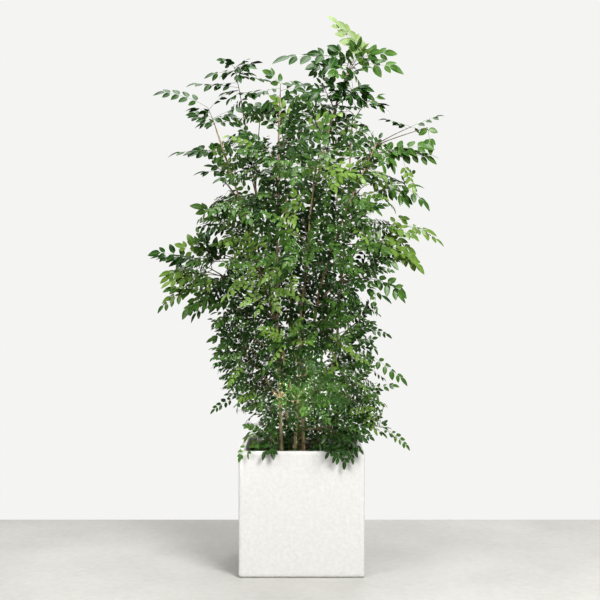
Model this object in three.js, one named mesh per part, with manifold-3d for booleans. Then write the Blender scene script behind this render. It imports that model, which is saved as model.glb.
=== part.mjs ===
// A potted evergreen ash: a clump of slender stems in a square planter, with feathery leaves on side twigs.
// Millimetres, +Z up. The origin is the middle of the planter's flat underside, and the front faces -Y.
import * as THREE from "three";
import { mergeVertices } from "three/addons/utils/BufferGeometryUtils.js";
import Module from "manifold-3d";

const wasm = await Module();
wasm.setup();

// Planter and soil
const PLANTER_SIDE = 380;
const PLANTER_HEIGHT = 380;
const PLANTER_WALL = 18;
const PLANTER_FLOOR = 20;
const PLANTER_CORNER = 9;
const PLANTER_BEVEL = 3;
const CORNER_STEPS = 3;
const SOIL_BELOW_RIM = 40;
const CLEARANCE = 0.3;
const SOIL_TOP = PLANTER_HEIGHT - SOIL_BELOW_RIM;
const PLANT_HEIGHT = 1740;

// Stems and boughs: tapers and the root flare are shares of the thickness where the limb starts
const STEM_SIDES = 5;
const STEM_STEPS = 10;
const STEM_RING_EASE = 1.4;
const STEM_TAPER = 0.56;
const FLARE_SHARE = 0.6;
const FLARE_HEIGHT = 22;
const STEM_KNOTS = 9;
const STEM_KINK = 5;
const STEM_ROOTED = 12;
const BOUGH_SIDES = 5;
const BOUGH_STEPS = 3;
const BOUGH_THICK = 8;
const BOUGH_SHARE = 0.84;
const BOUGH_TAPER = 0.25;
const BRANCH_BEND = 0.42;
const BRANCH_STEEP = 0.62;

// Twigs and leaves: a leaf is a rib with pairs of leaflets and one at its end
const TWIG_SIDES = 3;
const TWIG_STEPS = 3;
const TWIG_THICK = 6;
const TWIG_TIP_THICK = 5.2;
const RIB_STEPS = 2;
const RIB_THICK = 2.6;
const RIB_TIP_THICK = 2.4;
const LEAF_STALK = 38;
const LEAFLET_GAP = 50;
const LEAFLET_PAIRS = 2;
const LEAFLET_LENGTH = 86;
const LEAFLET_WIDTH = 46;
const LEAFLET_THICK = 3.2;
const LEAFLET_WIDEST = 0.42;
const LEAFLET_FOLD = 0.16;
const LEAFLET_DROOP = 0.1;
const LEAFLET_SUNK = 0.6;
const LEAFLET_ANGLE = THREE.MathUtils.degToRad(58);
const LEAF_ANGLE = THREE.MathUtils.degToRad(56);
const LEAFLET_PITCH = 0.12;
const LEAF_SAG = 0.75;
const LEAF_SPREAD = 0.22;
const LEAF_TURN = THREE.MathUtils.degToRad(64);
const TURN_SPREAD = 0.7;
const LEAF_FACING = 0.8;
const LOWEST_SIZE = 0.7;
const HIGHEST_SIZE = 1.06;
const SIZE_SPREAD = 0.14;
const FIRST_NODE = 0.34;
const LAST_NODE = 0.86;
const TIP_NODE = 0.98;

// Room kept round limbs, and at the border between the spaces of two masses
const CUT_ROOM = 0.1;
const LIMB_ROOM = 1.2;
const SPACE_ROOM = 3;
const SPACE_REACH = 130;

// Seeds of the stems' kinks and of the masses' leaves
const STEM_SEED = 11;
const LEAF_SEED = 521;

// Shares from 0 to 1 in equal steps, drawn towards the start by an ease above 1.
function stepsTo(count, ease = 1) {
  return Array.from({ length: count + 1 }, (_, i) => (i / count) ** ease);
}

// Rings along the centreline of each kind of limb
const STEM_RINGS = stepsTo(STEM_STEPS, STEM_RING_EASE);
const BOUGH_RINGS = stepsTo(BOUGH_STEPS);
const TWIG_RINGS = stepsTo(TWIG_STEPS);
const RIB_RINGS = stepsTo(RIB_STEPS);

const UP = new THREE.Vector3(0, 0, 1);
const BACK = new THREE.Vector3(0, 1, 0);
const BARK = new THREE.MeshStandardMaterial({ color: 0x9a8468, roughness: 0.85, metalness: 0 });
const FOLIAGE = new THREE.MeshStandardMaterial({ color: 0x2f6b26, roughness: 0.45, metalness: 0 });
const PLASTER = new THREE.MeshStandardMaterial({ color: 0xf1eee6, roughness: 0.9, metalness: 0 });
const SOIL = new THREE.MeshStandardMaterial({ color: 0x3a2c20, roughness: 1, metalness: 0 });

// Stems: foot on the soil, tip in the crown, how late they lean, sideways swell, thickness at the foot.
const STEMS = [
  { name: "front_left", foot: [-62, -52], tip: [-66, -115, 1460], late: 1.2, swell: [-12, -8], thick: 14 },
  { name: "left", foot: [4, -30], tip: [-268, -50, 1370], late: 1.3, swell: [0, 0], thick: 14 },
  { name: "leader", foot: [14, 12], tip: [146, -20, 1560], late: 3.2, swell: [-14, 8], thick: 15 },
  { name: "right", foot: [8, -66], tip: [232, -80, 1320], late: 1.8, swell: [-25, -8], thick: 13 },
  { name: "inner_right", foot: [58, 8], tip: [166, 70, 1420], late: 0.9, swell: [14, 10], thick: 12 },
  { name: "inner_left", foot: [-36, 34], tip: [-190, 90, 1440], late: 1.2, swell: [0, 14], thick: 12 },
  { name: "back_left", foot: [-6, 74], tip: [-60, 225, 1350], late: 1.5, swell: [-10, 0], thick: 13 },
  { name: "back_right", foot: [48, 62], tip: [130, 215, 1270], late: 1.5, swell: [0, 0], thick: 12 },
  { name: "front", foot: [-20, -92], tip: [36, -215, 1180], late: 1.6, swell: [0, 0], thick: 12 },
];

// Tufts that end the stems: the bearing they lean to, in degrees from +X towards +Y, their length and lean.
const TIPS = [
  { name: "top_left", stem: "front_left", bearing: 215, length: 60, lean: 0.4, pairs: 2 },
  { name: "far_left_top", stem: "left", bearing: 175, length: 60, lean: 0.5, pairs: 2 },
  { name: "top", stem: "leader", bearing: 200, length: 50, lean: 0.1, pairs: 2 },
  { name: "far_right_top", stem: "right", bearing: 350, length: 60, lean: 0.4, pairs: 2 },
  { name: "top_right", stem: "inner_right", bearing: 40, length: 70, lean: 0.6, pairs: 2 },
  { name: "upper_left", stem: "inner_left", bearing: 130, length: 60, lean: 0.3, pairs: 2 },
  { name: "top_back_left", stem: "back_left", bearing: 110, length: 70, lean: 0.5, pairs: 2 },
  { name: "top_back_right", stem: "back_right", bearing: 60, length: 70, lean: 0.5, pairs: 1 },
  { name: "top_front", stem: "front", bearing: 280, length: 70, lean: 0.5, pairs: 1 },
];

// Side branches: the stem and the height they leave it at, their bearing as above, how far out and up they
// go, the share of their length that is bare bough, and the pairs of leaves on the rest.
const BRANCHES = [
  { name: "left_high", stem: "left", at: 1130, bearing: 190, out: 80, up: 100, pairs: 2 },
  { name: "left_shoulder", stem: "left", at: 970, bearing: 216, out: 90, up: 100, pairs: 1 },
  { name: "left_broad", stem: "left", at: 770, bearing: 180, out: 215, up: 170, bough: 0.5, pairs: 2 },
  { name: "left_middle", stem: "left", at: 640, bearing: 194, out: 215, up: 130, bough: 0.5, pairs: 2 },
  { name: "left_low", stem: "front_left", at: 515, bearing: 172, out: 146, up: 175, bough: 0.55, pairs: 1 },
  { name: "left_foot", stem: "front_left", at: 420, bearing: 214, out: 110, up: 40, pairs: 1 },
  { name: "left_inner", stem: "inner_left", at: 560, bearing: 160, out: 100, up: 60, pairs: 1 },
  { name: "right_high", stem: "right", at: 1120, bearing: 340, out: 80, up: 90, pairs: 1 },
  { name: "right_upper", stem: "inner_right", at: 1220, bearing: 20, out: 90, up: 100, pairs: 2 },
  { name: "right_side", stem: "inner_right", at: 960, bearing: 12, out: 130, up: 110, bough: 0.4, pairs: 2 },
  { name: "right_broad", stem: "right", at: 820, bearing: 350, out: 150, up: 130, bough: 0.45, pairs: 2 },
  { name: "right_middle", stem: "inner_right", at: 700, bearing: 10, out: 110, up: 90, pairs: 2 },
  { name: "right_low", stem: "right", at: 560, bearing: 340, out: 130, up: 100, pairs: 2 },
  { name: "right_foot", stem: "inner_right", at: 460, bearing: 6, out: 140, up: 70, bough: 0.4, pairs: 2 },
  { name: "right_rim", stem: "inner_right", at: 400, bearing: 346, out: 160, up: 24, pairs: 1 },
  { name: "front_upper", stem: "front_left", at: 1160, bearing: 262, out: 90, up: 100, pairs: 2 },
  { name: "front_right", stem: "right", at: 960, bearing: 290, out: 110, up: 90, pairs: 2 },
  { name: "front_left", stem: "front_left", at: 820, bearing: 236, out: 110, up: 110, pairs: 2 },
  { name: "front_middle", stem: "front", at: 880, bearing: 276, out: 100, up: 90, pairs: 1 },
  { name: "front_low", stem: "front", at: 620, bearing: 258, out: 120, up: 90, bough: 0.35, pairs: 1 },
  { name: "front_inner", stem: "front", at: 490, bearing: 296, out: 110, up: 70, pairs: 2 },
  { name: "front_foot", stem: "front", at: 425, bearing: 322, out: 150, up: 30, pairs: 2 },
  { name: "centre_high", stem: "leader", at: 1330, bearing: 205, out: 60, up: 110, pairs: 2 },
  { name: "centre_top", stem: "leader", at: 1420, bearing: 320, out: 80, up: 90, pairs: 2 },
  { name: "back_high", stem: "back_left", at: 1130, bearing: 80, out: 80, up: 80, pairs: 1 },
  { name: "back_middle", stem: "back_left", at: 930, bearing: 150, out: 130, up: 110, pairs: 2 },
  { name: "back_left", stem: "back_left", at: 740, bearing: 120, out: 180, up: 130, bough: 0.45, pairs: 2 },
  { name: "back_right", stem: "back_right", at: 800, bearing: 50, out: 180, up: 130, bough: 0.45, pairs: 2 },
  { name: "back_low", stem: "back_right", at: 540, bearing: 70, out: 160, up: 90, bough: 0.4, pairs: 1 },
  { name: "back_foot", stem: "back_left", at: 450, bearing: 140, out: 150, up: 60, pairs: 2 },
];

// The same draws for the same seed, from 0 up to 1.
function seeded(seed) {
  let state = seed >>> 0;
  return () => {
    state = (state + 0x6d2b79f5) >>> 0;
    let mixed = Math.imul(state ^ (state >>> 15), 1 | state);
    mixed = (mixed + Math.imul(mixed ^ (mixed >>> 7), 61 | mixed)) ^ mixed;
    return ((mixed ^ (mixed >>> 14)) >>> 0) / 4294967296;
  };
}

// A closed geometry as a solid, with its shared vertices merged.
function solidOf(geometry) {
  const bare = new THREE.BufferGeometry().setAttribute("position", geometry.getAttribute("position"));
  if (geometry.index) bare.setIndex(geometry.index);
  const merged = mergeVertices(bare, 1e-4);
  return new wasm.Manifold(
    new wasm.Mesh({
      numProp: 3,
      vertProperties: merged.getAttribute("position").array,
      triVerts: new Uint32Array(merged.index.array),
    }),
  );
}

// A solid as a named mesh.
function meshOf(name, solid, material) {
  const made = solid.getMesh();
  const geometry = new THREE.BufferGeometry();
  geometry.setAttribute("position", new THREE.BufferAttribute(made.vertProperties, made.numProp));
  geometry.setIndex(new THREE.BufferAttribute(made.triVerts, 1));
  geometry.computeVertexNormals();
  const mesh = new THREE.Mesh(geometry, material);
  mesh.name = name;
  return mesh;
}

// A limb: a turned taper whose rings are set along a curve, with one edge away from the upright direction.
// radiusAt takes the distance along the curve as a share of its length.
function limb(curve, radiusAt, sides, rings, upright) {
  const profile = rings.map((share, ring) => new THREE.Vector2(radiusAt(share), ring));
  profile.unshift(new THREE.Vector2(0, 0));
  profile.push(new THREE.Vector2(0, rings.length - 1));
  const turned = new THREE.LatheGeometry(profile, sides);
  const centres = rings.map((share) => curve.getPointAt(share));
  const upper = upright.clone();
  const frames = rings.map((share) => {
    const along = curve.getTangentAt(share);
    upper.projectOnPlane(along).normalize();
    return { upper: upper.clone(), across: new THREE.Vector3().crossVectors(upper, along) };
  });
  const place = turned.getAttribute("position");
  for (let i = 0; i < place.count; i++) {
    const ring = Math.round(place.getY(i));
    const point = centres[ring]
      .clone()
      .addScaledVector(frames[ring].across, place.getX(i))
      .addScaledVector(frames[ring].upper, -place.getZ(i));
    place.setXYZ(i, point.x, point.y, point.z);
  }
  return solidOf(turned);
}

// A point of a limb's centreline as it is modelled: straight from ring to ring.
function pointOn(curve, rings, share) {
  const next = rings.findIndex((ring) => ring >= share);
  const [below, above] = [rings[next - 1], rings[next]];
  return curve.getPointAt(below).lerp(curve.getPointAt(above), (share - below) / (above - below));
}

// A straight taper from one thickness to another, as a radius along a limb.
function taper(thick, tipThick, grown = 0) {
  return (share) => THREE.MathUtils.lerp(thick, tipThick, share) / 2 + grown;
}

// The unit vector that a bearing in degrees points along.
function bearingOf(degrees) {
  const angle = THREE.MathUtils.degToRad(degrees);
  return new THREE.Vector3(Math.cos(angle), Math.sin(angle), 0);
}

// A direction turned by an angle, in radians, towards another that it is square to.
function turnedFrom(along, across, angle) {
  return along.clone().multiplyScalar(Math.cos(angle)).addScaledVector(across, Math.sin(angle));
}

// The stretch of a curve with three control points between two shares of its parameter.
function stretchOf(curve, from, to) {
  const blend = (a, b) =>
    new THREE.Vector3()
      .addScaledVector(curve.v0, (1 - a) * (1 - b))
      .addScaledVector(curve.v1, a * (1 - b) + b * (1 - a))
      .addScaledVector(curve.v2, a * b);
  return new THREE.QuadraticBezierCurve3(blend(from, from), blend(from, to), blend(to, to));
}

// A curve that leaves a point along a heading and turns halfway towards another.
function bentPath(start, heading, turned, length) {
  const middle = start.clone().addScaledVector(heading, length / 2);
  const end = middle.clone().addScaledVector(turned, length / 2);
  return new THREE.QuadraticBezierCurve3(start, middle, end);
}

// A stem's centreline: it rises from its foot, leans out late, swells sideways and kinks at each knot.
function stemCurve(stem, seed) {
  const random = seeded(seed);
  const [footX, footY] = stem.foot;
  const [tipX, tipY, tipZ] = stem.tip;
  const footZ = SOIL_TOP - STEM_ROOTED;
  const knots = stepsTo(STEM_KNOTS).map((share) => {
    const leant = share ** stem.late;
    const swollen = Math.sin(Math.PI * share);
    const kink = () => STEM_KINK * swollen * (2 * random() - 1);
    return new THREE.Vector3(
      THREE.MathUtils.lerp(footX, tipX, leant) + stem.swell[0] * swollen + kink(),
      THREE.MathUtils.lerp(footY, tipY, leant) + stem.swell[1] * swollen + kink(),
      THREE.MathUtils.lerp(footZ, tipZ, share),
    );
  });
  return new THREE.CatmullRomCurve3(knots, false, "centripetal");
}

// A stem's radius: it tapers to its tip, and flares to its roots over the lowest few centimetres.
function stemRadius(stem, curve, grown = 0) {
  const length = curve.getLength();
  return (share) => {
    const above = Math.max(0, share * length - STEM_ROOTED);
    const flare = FLARE_SHARE * Math.exp(-above / FLARE_HEIGHT);
    return (stem.thick / 2) * (1 - STEM_TAPER * share + flare) + grown;
  };
}

// A stem's solid, cut flat where it stands on the soil.
function stemSolid(stem, curve, grown = 0) {
  const whole = limb(curve, stemRadius(stem, curve, grown), STEM_SIDES, STEM_RINGS, BACK);
  const ground = new THREE.BoxGeometry(PLANTER_SIDE, PLANTER_SIDE, SOIL_TOP);
  return whole.subtract(solidOf(ground.translate(0, 0, SOIL_TOP / 2 + CLEARANCE - grown)));
}

// The point of a stem's centreline at a height, straight from ring to ring.
function pointAtHeight(curve, height) {
  const rings = STEM_RINGS.map((share) => curve.getPointAt(share));
  const next = rings.findIndex((ring) => ring.z >= height);
  const [below, above] = [rings[next - 1], rings[next]];
  return below.lerp(above, (height - below.z) / (above.z - below.z));
}

// A side branch's whole path: out of the stem at a slant, then flatter towards its tip.
function branchPath(branch, curve) {
  const start = pointAtHeight(curve, branch.at);
  const out = bearingOf(branch.bearing).multiplyScalar(branch.out);
  const up = UP.clone().multiplyScalar(branch.up);
  const middle = start.clone().addScaledVector(out, BRANCH_BEND).addScaledVector(up, BRANCH_STEEP);
  const end = start.clone().add(out).add(up);
  return new THREE.QuadraticBezierCurve3(start, middle, end);
}

// A tuft's path: on from the stem's tip, leaning out.
function tuftPath(tuft, curve) {
  const heading = curve.getTangentAt(1);
  const start = curve.getPointAt(1).addScaledVector(heading, CLEARANCE);
  const turned = heading.clone().addScaledVector(bearingOf(tuft.bearing), tuft.lean).normalize();
  return bentPath(start, heading, turned, tuft.length);
}

// The path moved on along its own start by the clearance, so that it doesn't touch what it grows from.
function clearOfStart(path) {
  const length = path.getLength();
  return stretchOf(path, CLEARANCE / length, 1);
}

// How far a point is from a stretch between two others.
function distanceToStretch(point, start, end) {
  const nearest = new THREE.Line3(start, end).closestPointToPoint(point, true, new THREE.Vector3());
  return nearest.distanceTo(point);
}

// A mass's spine: its twig, carried on past the tip. The space nearest to it is the mass's own.
function spineOf(path) {
  const past = path.getPoint(1).addScaledVector(path.getTangent(1), SPACE_REACH);
  return [path.getPoint(0), path.getPoint(0.5), path.getPoint(1), past];
}

// How far a point is from the nearest stretch of a spine.
function distanceToSpine(point, spine) {
  return Math.min(...spine.slice(1).map((end, i) => distanceToStretch(point, spine[i], end)));
}

// What a mass may grow into: the space nearest its own spine, clear of every limb and of its own leaflets.
// A leaflet also keeps clear of the twig and of the other leaves' ribs.
function roomFor(own, others, limbs, twig) {
  const [leaflets, wood] = [[], [twig]];
  const keepsToSpace = (point) => {
    const near = distanceToSpine(point, own) + SPACE_ROOM;
    return others.every((spine) => distanceToSpine(point, spine) > near);
  };
  const fits = (points, solid, taken) =>
    points.every(keepsToSpace) && taken.every((other) => other.intersect(solid).isEmpty());
  return {
    fitsRib: (points, solid) => fits(points, solid, [limbs, ...leaflets]),
    fitsLeaflet: (points, solid) => fits(points, solid, [limbs, ...leaflets, ...wood]),
    takeLeaflets: (solids) => leaflets.push(...solids),
    takeRib: (solid) => wood.push(solid),
  };
}

// The upper side of a leaf that runs along a heading: up, and away from the middle of the crown.
function upperSide(heading, outward) {
  return UP.clone()
    .addScaledVector(outward, LEAF_FACING)
    .projectOnPlane(heading)
    .normalize();
}

// One leaflet: a thin blade of eight faces, folded a little along its middle. Its root is sunk in its rib.
function leaflet(root, heading, upper, size) {
  const blade = new THREE.OctahedronGeometry(1);
  const across = new THREE.Vector3().crossVectors(heading, upper).normalize();
  const normal = new THREE.Vector3().crossVectors(across, heading);
  const place = blade.getAttribute("position");
  const corners = [];
  for (let i = 0; i < place.count; i++) {
    const [side, end, face] = [place.getX(i), Math.round(place.getY(i)), place.getZ(i)];
    const along = { [-1]: 0, 0: LEAFLET_WIDEST, 1: 1 }[end] * LEAFLET_LENGTH;
    const folded = Math.abs(side) * LEAFLET_FOLD * LEAFLET_WIDTH;
    const drooped = Math.max(0, end) * LEAFLET_DROOP * LEAFLET_LENGTH;
    const corner = root
      .clone()
      .addScaledVector(heading, size * along - LEAFLET_SUNK)
      .addScaledVector(across, (size * side * LEAFLET_WIDTH) / 2)
      .addScaledVector(normal, size * (folded - drooped + (face * LEAFLET_THICK) / 2));
    place.setXYZ(i, corner.x, corner.y, corner.z);
    corners.push(corner);
  }
  return { solid: solidOf(blade), corners };
}

// One feathery leaf: a rib that sags, pairs of leaflets along it and one at its end. A leaflet that would
// leave the mass's space or touch a limb is left off, and a leaf whose rib would is left off whole.
function leaf(start, heading, size, room) {
  const outward = start.clone().setZ(0).normalize();
  const length = (LEAF_STALK + LEAFLET_GAP * LEAFLET_PAIRS) * size;
  const turned = heading
    .clone()
    .addScaledVector(UP, -LEAF_SAG)
    .addScaledVector(outward, LEAF_SPREAD)
    .normalize();
  const rib = bentPath(start, heading, turned, length);
  const ribTaper = taper(RIB_THICK, RIB_TIP_THICK);
  const ribSolid = limb(rib, ribTaper, TWIG_SIDES, RIB_RINGS, upperSide(heading, outward));
  if (!room.fitsRib(rib.getPoints(3), ribSolid)) return [];
  const kept = [ribSolid];
  const grow = (share, side) => {
    const along = rib.getTangentAt(share);
    const upper = upperSide(along, outward);
    const across = new THREE.Vector3().crossVectors(along, upper);
    const away = turnedFrom(along, across, side * LEAFLET_ANGLE).addScaledVector(upper, -LEAFLET_PITCH);
    return leaflet(pointOn(rib, RIB_RINGS, share), away.normalize(), upper, size);
  };
  const keep = (blades) => {
    const fitting = blades.filter(({ corners, solid }) => room.fitsLeaflet(corners, solid));
    const solids = fitting.map(({ solid }) => solid);
    room.takeLeaflets(solids);
    kept.push(...solids);
  };
  for (let pair = 0; pair < LEAFLET_PAIRS; pair++) {
    const share = ((LEAF_STALK + LEAFLET_GAP * pair) * size) / length;
    keep([grow(share, 1), grow(share, -1)]);
  }
  keep([grow(1, 0)]);
  room.takeRib(ribSolid);
  return kept;
}

// The leaves of one twig: opposite pairs, each turned from the last, and one leaf on at the tip. They are
// larger towards the top of the plant.
function leavesOn(path, pairs, seed, room) {
  const random = seeded(seed);
  const height = (path.getPointAt(1).z - SOIL_TOP) / (PLANT_HEIGHT - SOIL_TOP);
  const size = () =>
    THREE.MathUtils.lerp(LOWEST_SIZE, HIGHEST_SIZE, height) * (1 + SIZE_SPREAD * (random() - 0.5));
  const kept = [];
  for (let pair = 0; pair < pairs; pair++) {
    const step = pairs > 1 ? pair / (pairs - 1) : 0.5;
    const share = THREE.MathUtils.lerp(FIRST_NODE, LAST_NODE, step);
    const along = path.getTangentAt(share);
    const level = new THREE.Vector3().crossVectors(UP, along).normalize();
    const across = level.applyAxisAngle(along, LEAF_TURN * pair + TURN_SPREAD * (random() - 0.5));
    for (const side of [1, -1]) {
      const heading = turnedFrom(along, across, side * LEAF_ANGLE);
      kept.push(...leaf(pointOn(path, TWIG_RINGS, share), heading, size(), room));
    }
  }
  kept.push(...leaf(pointOn(path, TWIG_RINGS, TIP_NODE), path.getTangentAt(1), size(), room));
  return kept;
}

// A square outline with rounded corners.
function roundedSquare(side, corner) {
  const centre = side / 2 - corner;
  const shape = new THREE.Shape();
  shape.moveTo(-centre, -side / 2);
  for (const quarter of [-1, 0, 1, 2]) {
    const from = (quarter * Math.PI) / 2;
    const [x, y] = [Math.sign(Math.cos(from + 0.5)), Math.sign(Math.sin(from + 0.5))];
    shape.absarc(x * centre, y * centre, corner, from, from + Math.PI / 2, false);
  }
  return shape;
}

// A block with rounded upright edges, from one height to another, and softened rims if it has a bevel.
function roundedBlock(side, corner, bottom, top, bevel = 0) {
  const geometry = new THREE.ExtrudeGeometry(roundedSquare(side - 2 * bevel, corner - bevel), {
    depth: top - bottom - 2 * bevel,
    bevelEnabled: bevel > 0,
    bevelThickness: bevel,
    bevelSize: bevel,
    bevelSegments: 1,
    curveSegments: CORNER_STEPS,
  });
  return solidOf(geometry.translate(0, 0, bottom + bevel));
}

// The planter is an open box, and the soil fills it to below the rim.
const plant = new THREE.Group();
const hollowSide = PLANTER_SIDE - 2 * PLANTER_WALL;
const hollow = roundedBlock(hollowSide, PLANTER_CORNER, PLANTER_FLOOR, 2 * PLANTER_HEIGHT);
const block = roundedBlock(PLANTER_SIDE, PLANTER_CORNER, 0, PLANTER_HEIGHT, PLANTER_BEVEL);
const planter = block.subtract(hollow);
const soilSide = hollowSide - 2 * CLEARANCE;
const soil = roundedBlock(soilSide, PLANTER_CORNER - CLEARANCE, PLANTER_FLOOR + CLEARANCE, SOIL_TOP);
plant.add(meshOf("planter", planter, PLASTER), meshOf("soil", soil, SOIL));

// Stems, and the same stems a little thicker, which whatever leaves them is cut by
const stems = new Map();
const limbs = [];
STEMS.forEach((stem, index) => {
  const curve = stemCurve(stem, STEM_SEED + index);
  const cutter = stemSolid(stem, curve, CLEARANCE + CUT_ROOM);
  const radiusAt = stemRadius(stem, curve);
  const thickAt = (height) => 2 * radiusAt((height - SOIL_TOP) / (stem.tip[2] - SOIL_TOP));
  stems.set(stem.name, { curve, cutter, thickAt });
  limbs.push(stemSolid(stem, curve, LIMB_ROOM));
  plant.add(meshOf(`stem_${stem.name}`, stemSolid(stem, curve), BARK));
});

// Boughs, and the path of each mass's twig: on from its bough, or straight from the stem
const masses = TIPS.map((tuft) => ({ ...tuft, path: tuftPath(tuft, stems.get(tuft.stem).curve) }));
for (const branch of BRANCHES) {
  const { curve, cutter, thickAt } = stems.get(branch.stem);
  const path = branchPath(branch, curve);
  if (branch.bough) {
    const stretch = stretchOf(path, 0, branch.bough);
    const thick = Math.min(BOUGH_THICK, BOUGH_SHARE * thickAt(branch.at));
    const bough = (grown) =>
      limb(stretch, taper(thick, thick * (1 - BOUGH_TAPER), grown), BOUGH_SIDES, BOUGH_RINGS, UP);
    plant.add(meshOf(`bough_${branch.name}`, bough(0).subtract(cutter), BARK));
    limbs.push(bough(LIMB_ROOM));
    masses.push({ ...branch, path: clearOfStart(stretchOf(path, branch.bough, 1)) });
  } else {
    masses.push({ ...branch, path, cutter });
  }
}

// Masses of foliage: each a twig with its leaves fused on, in the space nearest its own spine
const taken = wasm.Manifold.union([...limbs, planter, soil]);
const spines = masses.map((mass) => spineOf(mass.path));
masses.forEach(({ name, path, pairs, cutter }, index) => {
  const others = spines.filter((_, other) => other !== index);
  const twig = limb(path, taper(TWIG_THICK, TWIG_TIP_THICK), TWIG_SIDES, TWIG_RINGS, BACK);
  const room = roomFor(spines[index], others, taken, twig);
  const fused = wasm.Manifold.union([twig, ...leavesOn(path, pairs, LEAF_SEED + index, room)]);
  plant.add(meshOf(`foliage_${name}`, cutter ? fused.subtract(cutter) : fused, FOLIAGE));
});

export default plant;
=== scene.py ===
"""Dresses the potted evergreen ash: bark, feathery leaves, soil and planter, on a pale studio floor.

The plant grows here by the same rule as its solids do, from the same named sizes, and is carried on to finer
twigs. Growth is worked out in millimetres, and meshes are made in metres.
"""

import logging
import math
from dataclasses import dataclass, field
from enum import Enum
from typing import Callable, Iterable, Optional, Sequence

import bpy
import numpy as np
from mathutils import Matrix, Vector, noise

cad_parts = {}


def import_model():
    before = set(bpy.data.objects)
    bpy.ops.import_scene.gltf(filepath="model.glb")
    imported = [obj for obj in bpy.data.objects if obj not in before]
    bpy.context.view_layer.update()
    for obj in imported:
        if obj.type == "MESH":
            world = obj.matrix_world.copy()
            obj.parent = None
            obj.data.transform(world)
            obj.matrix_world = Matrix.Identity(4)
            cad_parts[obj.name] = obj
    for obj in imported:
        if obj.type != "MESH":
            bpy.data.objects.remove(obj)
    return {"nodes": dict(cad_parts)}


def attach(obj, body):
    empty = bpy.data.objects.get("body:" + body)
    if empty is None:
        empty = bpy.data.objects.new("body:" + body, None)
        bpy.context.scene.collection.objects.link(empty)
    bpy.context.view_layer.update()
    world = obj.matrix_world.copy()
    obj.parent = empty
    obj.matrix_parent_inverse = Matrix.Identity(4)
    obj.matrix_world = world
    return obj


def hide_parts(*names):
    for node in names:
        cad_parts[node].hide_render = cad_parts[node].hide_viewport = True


LOG = logging.getLogger("potted_ash")
MM = 0.001
UP = np.array([0.0, 0.0, 1.0])
WINDOW = np.array([0.0, -1.0, 0.0])
WORD = 0xFFFFFFFF
TINY = 1e-9
BELOW_ONE = 0.999
WELD = 1e-6
# The colour sockets of a Mix node
MAIN, OTHER, MIXED = 6, 7, 2

Point = np.ndarray
Pair = tuple[float, float]
Triple = tuple[float, float, float]
Quad = tuple[float, float, float, float]
Colour = Triple
Piece = bpy.types.Object
Socket = bpy.types.NodeSocket


# ---- Sizes and places, as in the solids ----


@dataclass(frozen=True)
class StemPlace:
    """One stem: its foot on the soil, its tip in the crown, how late it leans, its swell and its thickness."""

    name: str
    foot: Pair
    tip: Triple
    late: float
    swell: Pair
    thick: float


@dataclass(frozen=True)
class TuftPlace:
    """A tuft that ends a stem: the bearing it leans to, its length and lean, and its pairs of shoots."""

    name: str
    stem: str
    bearing: float
    length: float
    lean: float
    pairs: int


@dataclass(frozen=True)
class BranchPlace:
    """A side branch: its stem and height, bearing, reach out and up, pairs of shoots and bare share."""

    name: str
    stem: str
    at: float
    bearing: float
    out: float
    up: float
    pairs: int
    bough: float = 0.0


STEMS = (
    StemPlace("front_left", (-62, -52), (-66, -115, 1460), 1.2, (-12, -8), 14),
    StemPlace("left", (4, -30), (-268, -50, 1370), 1.3, (0, 0), 14),
    StemPlace("leader", (14, 12), (146, -20, 1560), 3.2, (-14, 8), 15),
    StemPlace("right", (8, -66), (232, -80, 1320), 1.8, (-25, -8), 13),
    StemPlace("inner_right", (58, 8), (166, 70, 1420), 0.9, (14, 10), 12),
    StemPlace("inner_left", (-36, 34), (-190, 90, 1440), 1.2, (0, 14), 12),
    StemPlace("back_left", (-6, 74), (-60, 225, 1350), 1.5, (-10, 0), 13),
    StemPlace("back_right", (48, 62), (130, 215, 1270), 1.5, (0, 0), 12),
    StemPlace("front", (-20, -92), (36, -215, 1180), 1.6, (0, 0), 12),
)

STEM_NAMED = {stem.name: stem for stem in STEMS}

TUFTS = tuple(TuftPlace(*row) for row in (
    ("top_left", "front_left", 215, 60, 0.4, 2), ("far_left_top", "left", 175, 60, 0.5, 2),
    ("top", "leader", 200, 50, 0.1, 2), ("far_right_top", "right", 350, 60, 0.4, 2),
    ("top_right", "inner_right", 40, 70, 0.6, 2), ("upper_left", "inner_left", 130, 60, 0.3, 2),
    ("top_back_left", "back_left", 110, 70, 0.5, 2), ("top_back_right", "back_right", 60, 70, 0.5, 1),
    ("top_front", "front", 280, 70, 0.5, 1),
))

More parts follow.
